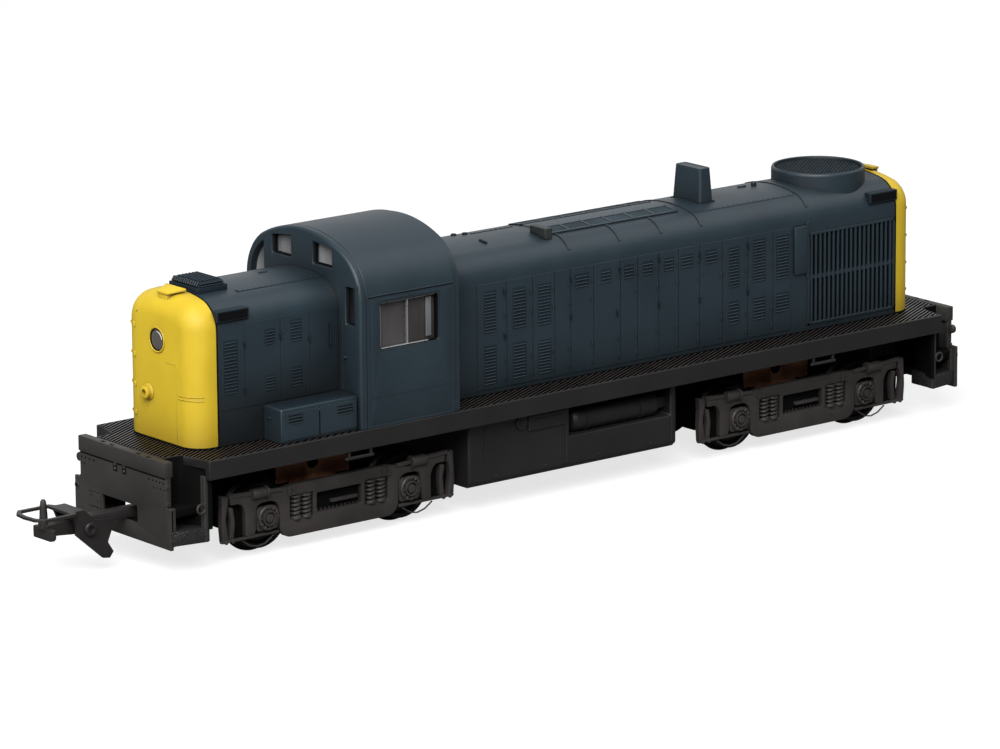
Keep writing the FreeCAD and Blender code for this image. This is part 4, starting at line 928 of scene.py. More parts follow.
# A flat block and a cap on a stem behind the stack.
block(mesh, (-50.6, -2.0, crown_at(1.6) - 0.1), (-48.8, -1.4, crown_at(1.6) + 0.28), 0.1)
rod(mesh, (-52.2, -1.3, crown_at(1.3) - 0.1), (-52.2, -1.3, crown_at(1.3) + 0.75), 0.5, steps=16,
    soft=0.15)
piece("roof_seams", mesh, "locomotive", blue_grey, base=MIDDLE)
piece("roof_rivets", dots, "locomotive", blue_shaded, base=MIDDLE)
# Two lugs and a lifting handle between the stack and the cab, and a slot's rim on the short hood.
mesh = bmesh.new()
for x, y in ((14.55, -4.3), (12.9, -3.2)):
    rod(mesh, (x, y, crown_at(y) - 0.2), (x, y, crown_at(y) + 0.35), 0.5, steps=20, soft=0.12)
block(mesh, (13.9, 2.5, crown_at(3.5) - 0.1), (14.4, 4.5, crown_at(3.5) + 0.3), 0.1,
      Matrix.Rotation(math.asin(-3.5 / CROWN_RADIUS), 3, "X"))
block(mesh, (57.2, -1.5, crown_at(1.2) - 0.1), (58.9, -0.9, crown_at(1.2) + 0.16), 0.08)
piece("roof_lugs", mesh, "locomotive", blue_shaded, base=MIDDLE)
# The joint where the body moulding sits on the deck, a fine black line of painted shade in its gap.
mesh = bmesh.new()
for low_x, high_x in ((-76.6, 29.3), (50.75, 76.2)):
    block(mesh, (low_x, -10.24, 0.0), (high_x, 10.24, 0.22), 0.0)
piece("hood_foot_shade_line", mesh, "locomotive", shade_black, base=MIDDLE)

# ---- Engine doors ------------------------------------------------------------------------
# The long hood's sides are a row of access doors moulded in low relief, with pressed louvres,
# small latches and hinges. The duct cover beside the grille stands further out.


def louvres(mesh, x, heights, y, side, slat=0.57):
    """A group of pressed louvres between two x values and two heights on a side wall."""
    count = max(2, round((heights[1] - heights[0]) / slat))
    for step in range(count):
        base_h = heights[0] + (heights[1] - heights[0]) * step / count
        part = bmesh.new()
        bmesh.ops.create_cube(part, size=1.0)
        bmesh.ops.scale(part, vec=(x[1] - x[0], 0.4, slat * 0.6), verts=part.verts)
        bmesh.ops.translate(part, vec=((x[0] + x[1]) / 2, side * y, base_h + slat * 0.3),
                            verts=part.verts)
        outer = [v for v in part.verts if side * v.co.y > y]
        bmesh.ops.translate(part, vec=(0, -side * 0.3, 0),
                            verts=[v for v in outer if v.co.z > base_h + slat * 0.3])
        bmesh.ops.scale(part, vec=(0.88, 1, 1), verts=outer,
                        space=Matrix.Translation((-(x[0] + x[1]) / 2, 0, 0)))
        put_in(mesh, part)


def latch(mesh, x, h, y, side):
    """A door latch: a round boss with a short handle hanging from it."""
    rod(mesh, (x, side * (y - 0.1), h), (x, side * (y + 0.2), h), 0.24, steps=12, soft=0.05)
    out = side * (y + 0.2)
    block(mesh, (x - 0.12, out - 0.08, h - 1.1), (x + 0.12, out + 0.08, h), 0.04)


DOOR_SEAMS = [21.0, 14.4, 8.6, 3.7, 0.1, -5.1, -11.2, -15.1, -20.0, -24.6, -29.5, -34.9, -40.8,
              -46.8, -51.2]
LOUVRES = [  # rear and front, then the lowest and highest slat of each group
    (16.8, 19.5, (11.1, 18.4), (1.9, 8.7)), (10.2, 13.1, (11.0, 18.1), (2.1, 8.4)),
    (4.6, 7.5, (10.7, 18.0), (2.0, 8.0)), (-4.0, -0.8, (16.1, 18.5)), (-9.0, -6.7, (16.1, 18.5)),
    (-14.2, -12.0, (16.1, 18.5)), (-18.6, -16.3, (16.1, 18.5)), (-23.5, -21.2, (16.1, 18.5)),
    (-27.9, -25.1, (16.1, 18.5)), (-33.5, -30.7, (16.1, 18.5)),
    (-38.7, -36.3, (10.9, 18.2), (4.1, 8.3)), (-44.9, -42.0, (11.1, 18.8), (4.1, 8.1)),
    (-50.6, -47.5, (10.8, 18.7), (4.7, 8.2)),
]
LATCHES = [(15.0, 18.3), (14.9, 10.3), (0.1, 18.2), (0.1, 11.6), (-11.0, 18.4), (-10.4, 10.6),
           (-20.0, 18.9), (-20.0, 10.7), (-29.5, 18.2), (-29.5, 10.2), (-40.8, 18.4),
           (-40.8, 10.0)]
SHORT_DOORS = [(75.3, 70.55), (70.4, 63.05), (62.9, 56.85), (56.7, 51.0)]
SHORT_LOUVRES = [(71.95, 74.8, (9.0, 18.2)), (64.2, 66.3, (16.3, 18.9)),
                 (64.2, 66.3, (8.4, 11.0)), (58.6, 60.9, (16.0, 19.8)), (58.6, 60.9, (8.2, 11.6))]
SHORT_LATCHES = [(70.5, 17.4), (63.0, 17.8), (70.5, 9.6), (57.0, 16.4)]
for name, side in (("left", 1), ("right", -1)):
    skin_y = side * HALF
    mesh = bmesh.new()
    for front, rear in zip(DOOR_SEAMS, DOOR_SEAMS[1:]):
        block(mesh, (rear + 0.08, skin_y - 0.1, 0.9), (front - 0.08, skin_y + 0.1, 19.75), 0.05)
    # Dark blocks of painted shade behind each louvre group make the gaps between slats read dark;
    # the latches take the same shaded paint.
    backs = bmesh.new()
    for rear, front, *groups in LOUVRES:
        for low_high in groups:
            louvres(mesh, (rear, front), low_high, HALF + 0.05, side)
            block(backs, (rear, side * 10.26 - 0.06, low_high[0] - 0.1),
                  (front, side * 10.26 + 0.06, low_high[1]))
    for x, h in LATCHES:
        latch(backs, x, h, HALF + 0.08, side)
    # Two hinges on each seam's upper half and two on its lower half.
    for seam in DOOR_SEAMS[1:-1]:
        for h in (2.4, 5.6, 13.6, 16.9):
            rod(mesh, (seam + 0.45, side * 10.36, h - 0.4), (seam + 0.45, side * 10.36, h + 0.4),
                0.13, steps=8)
    # Duct cover beside the grille.
    block(mesh, (-54.65, skin_y - 0.5, 10.9), (-51.75, skin_y + 0.5, 19.7), 0.18, segments=2)
    block(mesh, (-55.3, skin_y - 0.25, 10.0), (-54.7, skin_y + 0.25, 20.3), 0.08)
    piece("door_row_" + name, mesh, "locomotive", blue_grey,
          ["engine_doors_" + name], base=MIDDLE)
    piece("door_shaded_backs_" + name, backs, "locomotive", blue_shaded, base=MIDDLE)
    mesh = bmesh.new()
    # Blocks of painted shade behind the short hood's louvres; its grab iron and latches are in
    # shaded paint.
    backs = bmesh.new()
    for rear, front, low_high in SHORT_LOUVRES:
        louvres(mesh, (rear, front), low_high, HALF, side)
        block(backs, (rear, side * 10.22 - 0.06, low_high[0] - 0.1),
              (front, side * 10.22 + 0.06, low_high[1]))
    for front, rear in SHORT_DOORS:
        block(mesh, (rear, skin_y - 0.06, 6.2), (front, skin_y + 0.06, 20.6), 0.03)
    # A short grab iron by the cab.
    wire(backs, [Vector((52.8, side * y, h)) for y, h in ((10.1, 17.9), (10.65, 17.9),
                                                          (10.65, 14.1), (10.1, 14.1))], 0.13)
    for x, h in SHORT_LATCHES:
        latch(backs, x, h, 10.22, side)
    piece("short_hood_doors_" + name, mesh, "locomotive", blue_low, base=MIDDLE)
    piece("short_hood_shaded_backs_" + name, backs, "locomotive", blue_shaded, base=MIDDLE)

# ---- Battery lockers ---------------------------------------------------------------------
# A low box stands on the walkway each side of the short hood, with a lid seam, a joint in the
# middle of its side and small louvres at both ends of it.
LOCKER_FACE, LOCKER_LOUVRES = 15.3, [(62.4, 65.4), (51.9, 55.2)]
for name, side in (("left", 1), ("right", -1)):
    face_y = side * LOCKER_FACE
    dressed("battery_box_" + name, "battery_locker_" + name, "locomotive", blue_grey,
            0.22)
    mesh = bmesh.new()
    for front, rear in ((66.5, 59.0), (58.7, 51.0)):
        block(mesh, (rear, face_y - 0.12, 0.5), (front, face_y + 0.1, 5.35), 0.05)
    for rear, front in LOCKER_LOUVRES:
        louvres(mesh, (rear, front), (3.3, 4.9), LOCKER_FACE, side, 0.55)
    rod(mesh, (58.85, side * 15.2, 4.9), (58.85, side * 15.45, 4.9), 0.28, steps=12, soft=0.06)
    block(mesh, (66.7, side * 12.0 - 0.5, 3.9), (67.0, side * 12.0 + 0.5, 4.3), 0.05)
    piece("battery_box_doors_" + name, mesh, "locomotive", blue_grey, base=MIDDLE)
    # The louvres' gaps and the joint in the middle of the side are near-black painted shade.
    mesh = bmesh.new()
    for rear, front in LOCKER_LOUVRES:
        for h in (3.55, 4.1, 4.65):
            block(mesh, (rear, side * 15.4 - 0.06, h), (front, side * 15.4 + 0.06, h + 0.14), 0.03)
    block(mesh, (58.82, side * 15.36 - 0.04, 0.5), (58.88, side * 15.36 + 0.04, 5.3), 0.02)
    piece("battery_box_slot_shades_" + name, mesh, "locomotive", shade_black, base=MIDDLE)
    # The lids are in the shaded paint, as painted shade.
    mesh = bmesh.new()
    block(mesh, (51.0, side * 12.75 - 2.3, 5.9), (66.5, side * 12.75 + 2.3, 6.08), 0.06)
    piece("battery_box_lids_" + name, mesh, "locomotive", blue_shaded, base=MIDDLE)

# ---- Radiator grilles --------------------------------------------------------------------
# Upright shutters cover the radiators on both sides, with one bar across them and a deep hollow
# behind, drawn as a dark sheet of painted shade.
SHUTTERS = 19
for name, side in (("left", 1), ("right", -1)):
    mesh = bmesh.new()
    low, high = corners("radiator_grille_" + name)
    outer = max(abs(low.y), abs(high.y))
    front_x, rear_x = high.x, low.x
    span = front_x - rear_x
    border = [((rear_x, low.z), (rear_x + 0.5, high.z)),
              ((front_x - 0.5, low.z), (front_x, high.z)),
              ((rear_x, low.z), (front_x, low.z + 0.5)),
              ((rear_x, high.z - 0.5), (front_x, high.z))]
    for (a, b), (c, d) in border:
        block(mesh, (a, side * (outer - 0.4) - 0.4, b), (c, side * (outer - 0.4) + 0.4, d), 0.06)
    for step in range(SHUTTERS):
        x = rear_x + 0.5 + (span - 1.0) * (step + 0.5) / SHUTTERS
        block(mesh, (x - 0.24, side * (outer - 0.42) - 0.4, low.z + 0.4),
              (x + 0.24, side * (outer - 0.42) + 0.4, high.z - 0.4), 0.07,
              Matrix.Rotation(side * math.radians(-14), 3, "Z"))
    # The bar across them, with a row of rivets.
    middle = (low.z + high.z) / 2 + 0.2
    block(mesh, (rear_x, side * (outer - 0.45) - 0.3, middle - 0.35),
          (front_x, side * (outer - 0.45) + 0.3, middle + 0.35), 0.06)
    for step in range(SHUTTERS + 1):
        x = rear_x + 0.5 + (span - 1.0) * step / SHUTTERS
        rivet(mesh, (x, side * (outer - 0.12), middle + 0.5), 0.1)
    piece("radiator_shutters_" + name, mesh, "locomotive", blue_grey,
          ["radiator_grille_" + name])
    # A dark sheet of painted shade behind the shutters stands for the hollow.
    mesh = bmesh.new()
    block(mesh, (rear_x + 0.3, side * (outer - 0.8) - 0.05, low.z + 0.3),
          (front_x - 0.3, side * (outer - 0.8) + 0.05, high.z - 0.3))
    piece("radiator_shade_sheet_" + name, mesh, "locomotive", shade_black)

# ---- Nose ends ---------------------------------------------------------------------------
# Both hood ends are sprayed yellow over the moulding, with a large soft radius round the face.
# A round window with a fine rim, a cable socket, hinge straps and a lamp under a brow are on it.
# In the yellow the painted shade in corners is a dark brown.
yellow = enamel("yellow_spray_enamel", "#ceb023", "#c2a41d", 0.58, "#6e5514")
lens_clear, tree = new_material("clear_polystyrene_lens")
# Clear styrene picks up fine swirls when it is pressed; the space behind it is dull and grey.
swirl = add(tree, "TexNoise", [("Vector", add(tree, "TexCoord").outputs["Object"]),
                               ("Scale", 300.0), ("Detail", 2.0)])
bumps = add(tree, "Bump", [("Height", swirl.outputs[0]), ("Strength", 0.15),
                           ("Distance", 0.05 * MM)])
skin = add(tree, "BsdfPrincipled", [("Base Color", linear("#4c4845")), ("Roughness", 0.1),
                                    ("IOR", 1.59), ("Coat Weight", 0.6),
                                    ("Normal", bumps.outputs[0])])
add(tree, "OutputMaterial", [("Surface", skin.outputs[0])])

lens_glint, tree = new_material("clear_polystyrene_painted_glint")
# Painted glint: light caught in the lens's bevel is drawn as a pale, slightly uneven streak.
uneven = add(tree, "TexNoise", [("Vector", add(tree, "TexCoord").outputs["Object"]),
                                ("Scale", 700.0), ("Detail", 2.0)])
tone = add(tree, "ValToRGB", [(0, uneven.outputs[0])])
tone.color_ramp.elements[0].color = linear("#a9aaac")
tone.color_ramp.elements[1].color = linear("#e6e7e8")
skin = add(tree, "BsdfPrincipled", [("Base Color", tone.outputs[0]), ("Roughness", 0.2),
                                    ("IOR", 1.59)])
add(tree, "OutputMaterial", [("Surface", skin.outputs[0])])

NOSE_BACK, NOSE_FACE, NOSE_ROUND, NOSE_STEPS = 76.2, 80.9, 3.9, 8
# The rear nose stands a little further from the middle than the front one.
NOSE_SHIFT = corners("nose_rear")[0].x - MIDDLE.x + NOSE_FACE
PORTHOLE = Vector((NOSE_FACE, -0.2, 17.55))


def nose_form(mesh):
    """The yellow end: the hood's section carried forward and rounded in to a flat face."""
    part = bmesh.new()
    hood_ring(part, NOSE_BACK, 0.0, -8.0)
    bmesh.ops.remove_doubles(part, verts=part.verts, dist=0.001)
    bmesh.ops.contextual_create(part, geom=part.edges[:])
    if part.faces[:][0].normal.x < 0:
        bmesh.ops.reverse_faces(part, faces=part.faces)
    grown = bmesh.ops.extrude_face_region(part, geom=part.faces[:])
    bmesh.ops.translate(part, vec=(NOSE_FACE - NOSE_BACK - NOSE_ROUND, 0, 0),
                        verts=[g for g in grown["geom"] if isinstance(g, bmesh.types.BMVert)])
    face = [g for g in grown["geom"] if isinstance(g, bmesh.types.BMFace)][0]
    for step in range(1, NOSE_STEPS + 1):
        was, now = (math.pi / 2 * k / NOSE_STEPS for k in (step - 1, step))
        bmesh.ops.inset_region(part, faces=[face], use_boundary=True, use_even_offset=True,
                               thickness=NOSE_ROUND * (math.cos(was) - math.cos(now)),
                               depth=NOSE_ROUND * (math.sin(now) - math.sin(was)))
    bmesh.ops.bisect_plane(part, geom=part.verts[:] + part.edges[:] + part.faces[:],
                           plane_co=(0, 0, 0), plane_no=(0, 0, -1), clear_outer=True)
    bmesh.ops.holes_fill(part, edges=part.edges, sides=0)
    face = max(part.faces, key=lambda f: f.calc_center_median().x)
    # The porthole: a round recess 0.9 mm deep in the face.
    border = list(face.edges)
    made = bmesh.ops.create_circle(part, cap_ends=False, segments=40, radius=1.95,
                                   matrix=Matrix.Translation(PORTHOLE)
                                   @ Matrix.Rotation(math.pi / 2, 4, "Y"))
    circle = list({e for v in made["verts"] for e in v.link_edges})
    bmesh.ops.delete(part, geom=[face], context="FACES_ONLY")
    bmesh.ops.triangle_fill(part, edges=border + circle, use_beauty=True, use_dissolve=False)
    inner = [f for f in part.faces if all(v in made["verts"] for v in f.verts)]
    bmesh.ops.delete(part, geom=inner, context="FACES_ONLY")
    walls = bmesh.ops.extrude_edge_only(part, edges=circle)
    back = [g for g in walls["geom"] if isinstance(g, bmesh.types.BMVert)]
    bmesh.ops.translate(part, vec=(-0.9, 0, 0), verts=back)
    bmesh.ops.contextual_create(part, geom=[e for e in part.edges
                                            if all(v in back for v in e.verts)])
    bmesh.ops.recalc_face_normals(part, faces=part.faces)
    put_in(mesh, part)


def across_loco(a, b, c):
    """Lays a plate's outline upright along the loco, thickness across it."""
    return Vector((a, c, b))


for end, way in (("front", 1), ("rear", -1)):
    mesh = bmesh.new()
    nose_form(mesh)
    turn(mesh, [(-0.1, 1.92), (0.14, 1.95), (0.22, 2.1), (0.14, 2.24), (-0.1, 2.3), (-0.1, 1.92)],
         PORTHOLE, (1, 0, 0), 48)
    # Brow over the lamp, with the lamp's housing below it.
    plate(mesh, [(76.9, -2.9, 0.1), (79.9, -1.45, 0.15), (79.9, 1.45, 0.15), (76.9, 2.9, 0.1)],
          lambda a, b, c: Vector((a, b, c - 0.17 * (a - 76.9))), (25.75, 26.2), soft=0.1)
    block(mesh, (76.6, -1.3, 24.0), (79.75, 1.3, 25.5), 0.12, segments=2)
    # Cable socket, hinge straps with their knuckles, and the seams of the doors.
    turn(mesh, [(-0.2, 1.5), (0.15, 1.42), (0.3, 1.2), (1.0, 1.1), (1.1, 0.95), (1.1, 0.55),
                (0.3, 0.5), (0.3, 0.0)], (NOSE_FACE, -2.9, 8.1), (1, 0, 0), 28)
    for h in (19.1, 14.0, 8.9, 3.9):
        block(mesh, (79.0, -9.0, h - 0.28), (79.9, -6.6, h + 0.28), 0.1,
              Matrix.Rotation(math.radians(28), 3, "Z"))
        for x, y in ((79.6, -8.75), (80.85, -6.7)):
            rod(mesh, (x, y, h - 0.5), (x, y, h + 0.5), 0.28, steps=12, soft=0.08)
    block(mesh, (NOSE_FACE - 0.1, 5.0, 0.8), (NOSE_FACE + 0.05, 5.12, 13.9), 0.03)
    block(mesh, (NOSE_FACE - 0.1, 1.9, 14.0), (NOSE_FACE + 0.05, 5.12, 14.12), 0.03)
    # Two fine beads run round the corner.
    for h in (8.45, 9.06):
        bend = [Vector((NOSE_FACE, 5.5, h))]
        for step in range(10):
            round_to = math.radians(65) * step / 9
            bend.append(Vector((NOSE_FACE - NOSE_ROUND + NOSE_ROUND * math.cos(round_to),
                                HALF - NOSE_ROUND + NOSE_ROUND * math.sin(round_to), h)))
        wire(mesh, bend, 0.11)
    rivet(mesh, (NOSE_FACE, -6.0, 21.6), 0.22)
    to_end(mesh, way, NOSE_SHIFT)
    piece("yellow_nose_" + end, mesh, "locomotive", yellow, ["nose_" + end],
          base=MIDDLE, sharp=38)
    mesh = bmesh.new()
    turn(mesh, [(-0.8, 0.0), (-0.8, 1.93), (-0.12, 1.93), (0.0, 1.6), (0.08, 0.9), (0.1, 0.0)],
         PORTHOLE, (1, 0, 0), 40)
    to_end(mesh, way, NOSE_SHIFT)
    piece("nose_lenses_" + end, mesh, "locomotive", lens_clear, ["porthole_lens_" + end],
          base=MIDDLE)
    # A pale streak of painted glint where the lens's bevel is thickest.
    mesh = bmesh.new()
    arc = [math.radians(10 + 10 * step) for step in range(9)]
    wire(mesh, [PORTHOLE + Vector((0.02, 1.4 * math.cos(a), 1.4 * math.sin(a)))
                for a in arc], 0.09)
    to_end(mesh, way, NOSE_SHIFT)
    piece("nose_lens_glints_" + end, mesh, "locomotive", lens_glint, base=MIDDLE)
    # The joints behind the nose and under its foot, and a ring in the porthole, as lines of painted
    # shade.
    mesh = bmesh.new()
    nose_form(mesh)
    bmesh.ops.bisect_plane(mesh, geom=mesh.verts[:] + mesh.edges[:] + mesh.faces[:],
                           plane_co=(0, 0, 0.35), plane_no=(0, 0, 1), clear_outer=True)
    bmesh.ops.holes_fill(mesh, edges=mesh.edges, sides=0)
    bmesh.ops.translate(mesh, vec=(-NOSE_BACK, 0, 0), verts=mesh.verts)
    bmesh.ops.scale(mesh, vec=(1.01, 1.004, 1.0), verts=mesh.verts)
    bmesh.ops.translate(mesh, vec=(NOSE_BACK, 0, 0), verts=mesh.verts)
    hood_slice(mesh, 75.95, 0.28, 0.04)
    turn(mesh, [(-0.1, 1.74), (0.06, 1.76), (0.06, 1.94), (-0.1, 1.96), (-0.1, 1.74)],
         PORTHOLE, (1, 0, 0), 48)
    to_end(mesh, way, NOSE_SHIFT)
    piece("nose_shade_lines_" + end, mesh, "locomotive", shade_black, base=MIDDLE)

# ---- Number boards -----------------------------------------------------------------------
# Small boards on the hood's shoulders beside the noses: bare black styrene plates set into
# small painted boxes.
board_black, tree = new_material("black_styrene_board")
# Unpolished black styrene has a fine fleck in it and hardly any shine.
fleck = add(tree, "TexNoise", [("Vector", add(tree, "TexCoord").outputs["Object"]),
                               ("Scale", 1500.0), ("Detail", 3.0)])
gloss = add(tree, "MapRange", [("Value", fleck.outputs[0]), ("To Min", 0.45), ("To Max", 0.6)])
tone = add(tree, "ValToRGB", [(0, fleck.outputs[0])])
tone.color_ramp.elements[0].color = linear("#050507")
tone.color_ramp.elements[1].color = linear("#0c0c10")
skin = add(tree, "BsdfPrincipled", [("Base Color", tone.outputs[0]),
                                    ("Specular IOR Level", 0.15),
                                    ("Roughness", gloss.outputs[0])])
add(tree, "OutputMaterial", [("Surface", skin.outputs[0])])
for end in ("front", "rear"):
    dressed("number_board_boxes_" + end, "number_boards_" + end, "locomotive", blue_shaded,
            0.1)
    low, high = corners("number_boards_" + end)
    mesh = bmesh.new()
    for side in (1, -1):
        block(mesh, (low.x + 0.25, side * high.y - 0.1, low.z + 0.2),
              (high.x - 0.25, side * high.y + 0.04, high.z - 0.2), 0.04)
    piece("number_boards_blank_" + end, mesh, "locomotive", board_black)

# ---- Fan, stack and roof fittings --------------------------------------------------------
# The radiator fan's shroud is a turned drum with a rolled lip and a fine wire mesh in its mouth.
# The stack, the slotted vent, the horn's box and the screens are separate mouldings glued on.
low, high = corners("fan_shroud")
fan = Vector(((low.x + high.x) / 2, 0.0, 0.0))
radius = (high.x - low.x) / 2
WIRES, WIRE_HIGH = 27, 46.62
mesh = bmesh.new()
turn(mesh, [(42.6, radius), (46.7, radius), (46.72, radius), (46.95, radius - 0.05),
            (47.2, radius - 0.2), (47.25, radius - 0.35), (47.15, radius - 0.55),
            (46.8, radius - 0.62), (42.6, radius - 0.62), (42.6, radius)], fan, (0, 0, 1), 96)
piece("fan_drum", mesh, "locomotive", blue_grey, ["fan_shroud"], sharp=50)
# The drum's hollow under the mesh is drawn in near-black painted shade.
mesh = bmesh.new()
turn(mesh, [(43.6, 0.0), (43.6, radius - 0.5), (46.2, radius - 0.5), (46.3, radius - 1.0),
            (46.3, 0.0)], fan, (0, 0, 1), 64)
piece("fan_well_shade", mesh, "locomotive", shade_black)
# The mesh is two layers of wires across each other, with the second laid on the first.
mesh = bmesh.new()
inside = radius - 0.55
for turned, level in ((math.radians(38), WIRE_HIGH), (math.radians(-52), WIRE_HIGH + 0.12)):
    across = Vector((math.cos(turned), math.sin(turned), 0))
    along = Vector((-across.y, across.x, 0))
    for step in range(WIRES):
        off = inside * (2 * (step + 0.5) / WIRES - 1)
        reach = math.sqrt(inside ** 2 - off ** 2)
        centre = fan + across * off + Vector((0, 0, level))
        rod(mesh, centre - along * reach, centre + along * reach, 0.1, steps=5)
piece("fan_mesh", mesh, "locomotive", blue_shaded, ["fan_guard"])

# The stack has rounded corners, a dished top and two lugs on each long side.
mesh = whole_copy("exhaust_stack")
upright_edges = [e for e in mesh.edges if e.calc_length() > 3.0
                 and abs((e.verts[0].co - e.verts[1].co).normalized().z) > 0.9]
bmesh.ops.bevel(mesh, geom=upright_edges, offset=0.5, affect="EDGES", segments=6, profile=0.5,
                material=-1)
low, high = corners("exhaust_stack")
block(mesh, ((low.x + high.x) / 2 - 1.0, -3.15, high.z - 0.8),
      ((low.x + high.x) / 2 + 1.0, 3.15, high.z - 0.06), 0.08)
piece("exhaust_stack_moulding", mesh, "locomotive", blue_grey, ["exhaust_stack"],
      soften=0.12)
mesh = bmesh.new()
for x in (low.x - 0.1, high.x + 0.1):
    for y in (-3.6, 3.6):
        rod(mesh, (x, y, 44.6), (x, y, 45.15), 0.35, steps=12, soft=0.08)
piece("exhaust_stack_lugs", mesh, "locomotive", blue_shaded)
# The horn's box came in a batch of paint that is a little greener than the body.
horn_green = enamel("olive_grey_spray_enamel", "#2b332f", "#202723", 0.55)
dressed("horn_housing", "horn_box", "locomotive", horn_green, 0.14)
# The vent: a base, a lid with slots across it, teeth down its front slope and ridges on its sides.
mesh = bmesh.new()
block(mesh, (69.3, -4.15, 24.3), (75.5, 4.15, 26.2), 0.16, segments=2)
plate(mesh, [(69.7, 26.1, 0.1), (75.15, 26.1, 0.1), (74.5, 27.0, 0.1), (70.1, 27.0, 0.1)],
      across_loco, (-3.75, 3.75), soft=0.08)
SLOTS, TEETH = 6, 12
for step in range(SLOTS):
    x = 70.45 + 0.72 * step
    block(mesh, (x - 0.2, -3.3, 26.9), (x + 0.2, 3.3, 27.2), 0.08)
piece("roof_vent", mesh, "locomotive", blue_shaded, ["vent_box"], base=MIDDLE)
mesh = bmesh.new()
for step in range(TEETH):
    y = -3.4 + 0.62 * step
    block(mesh, (74.6, y - 0.17, 26.2), (75.2, y + 0.17, 27.1), 0.06,
          Matrix.Rotation(math.radians(-36), 3, "Y"))
for side in (1, -1):
    for y, h in ((3.95, 26.35), (3.8, 26.75)):
        block(mesh, (70.0, side * y - 0.12, h - 0.1), (74.7, side * y + 0.12, h + 0.1), 0.06)
piece("roof_vent_ridges", mesh, "locomotive", blue_grey, base=MIDDLE)
# The screens' frames: a ladder of six cells each side, open to a dark mesh.
LADDER_REAR, LADDER_LONG, CELLS, RUNG, FRAME_HIGH = -28.4, 29.7, 6, 0.5, 0.28


def between(side, inner, outer):
    """Planes that leave what lies between two distances from the middle, on one side."""
    return [((0, side * inner, 0), (0, -side, 0)), ((0, side * outer, 0), (0, side, 0))] + DOWN_TO


mesh = bmesh.new()
for side in (1, -1):
    for step in range(CELLS + 1):
        hood_slice(mesh, LADDER_REAR + (LADDER_LONG - RUNG) * step / CELLS, RUNG, FRAME_HIGH,
                   cuts=between(side, 2.0, 5.5))
    for y in (2.2, 5.25):
        hood_slice(mesh, LADDER_REAR, LADDER_LONG, FRAME_HIGH,
                   cuts=between(side, y - 0.2, y + 0.2))
piece("roof_screen_frames", mesh, "locomotive", blue_grey, ["roof_screens"],
      base=MIDDLE)
screen_mesh, tree = new_material("etched_screen_mesh")
spot = add(tree, "TexCoord").outputs["Object"]
slant = add(tree, "Mapping", [("Vector", spot), ("Rotation", (0.0, 0.0, math.radians(45.0))),
                              ("Scale", (1000.0, 1000.0, 1000.0))])
# A woven mesh with a cell every 0.45 mm, set on the diagonal.
weave = add(tree, "TexBrick", [("Vector", slant.outputs[0]), ("Scale", 1.0),
                               ("Mortar Size", 0.09), ("Mortar Smooth", 0.4),
                               ("Brick Width", 0.45), ("Row Height", 0.45)], offset=0.0)
tone = add(tree, "Mix", [("Factor", weave.outputs["Fac"]), (6, linear("#1a242a")),
                         (7, linear("#3d4c55"))], data_type="RGBA")
bumps = add(tree, "Bump", [("Height", weave.outputs["Fac"]), ("Strength", 0.9),
                           ("Distance", 0.08 * MM)])
skin = add(tree, "BsdfPrincipled", [("Base Color", tone.outputs[2]), ("Roughness", 0.5),
                                    ("Normal", bumps.outputs[0])])
add(tree, "OutputMaterial", [("Surface", skin.outputs[0])])
mesh = bmesh.new()
hood_slice(mesh, LADDER_REAR + 0.1, LADDER_LONG - 0.2, 0.19, cuts=between(-1, -1.8, 1.8))
piece("roof_screen_mesh", mesh, "locomotive", screen_mesh, base=MIDDLE)
# The cells' floors lie in the frames' shadow, so they are greyer and hardly shine.
cell_floor = moulded_plastic("etched_screen_shadow", "#39444b", "#2c363c", 0.8, 0.8, 0.1)
mesh = bmesh.new()
for side in (1, -1):
    hood_slice(mesh, LADDER_REAR + 0.2, LADDER_LONG - 0.4, 0.18, cuts=between(side, 2.3, 5.2))
piece("roof_screen_cells", mesh, "locomotive", cell_floor, base=MIDDLE)

# ---- Cab ---------------------------------------------------------------------------------
# The cab is a separate moulding in the same paint, with a rounded edge round its arched ends and
# a fine seam under the roof. Each window is a grey clear insert with a silver-printed edge.
silver, tree = new_material("silver_printed_edge")
# Silver print is grainy, which breaks its shine into fine grit.
grit = add(tree, "TexNoise", [("Vector", add(tree, "TexCoord").outputs["Object"]),
                              ("Scale", 2600.0), ("Detail", 2.0)])
gloss = add(tree, "MapRange", [("Value", grit.outputs[0]), ("To Min", 0.2), ("To Max", 0.42)])
tone = add(tree, "ValToRGB", [(0, grit.outputs[0])])
tone.color_ramp.elements[0].color = linear("#8f9294")
tone.color_ramp.elements[1].color = linear("#d5d7d8")
skin = add(tree, "BsdfPrincipled", [("Base Color", tone.outputs[0]), ("Metallic", 0.8),
                                    ("Roughness", gloss.outputs[0])])
add(tree, "OutputMaterial", [("Surface", skin.outputs[0])])


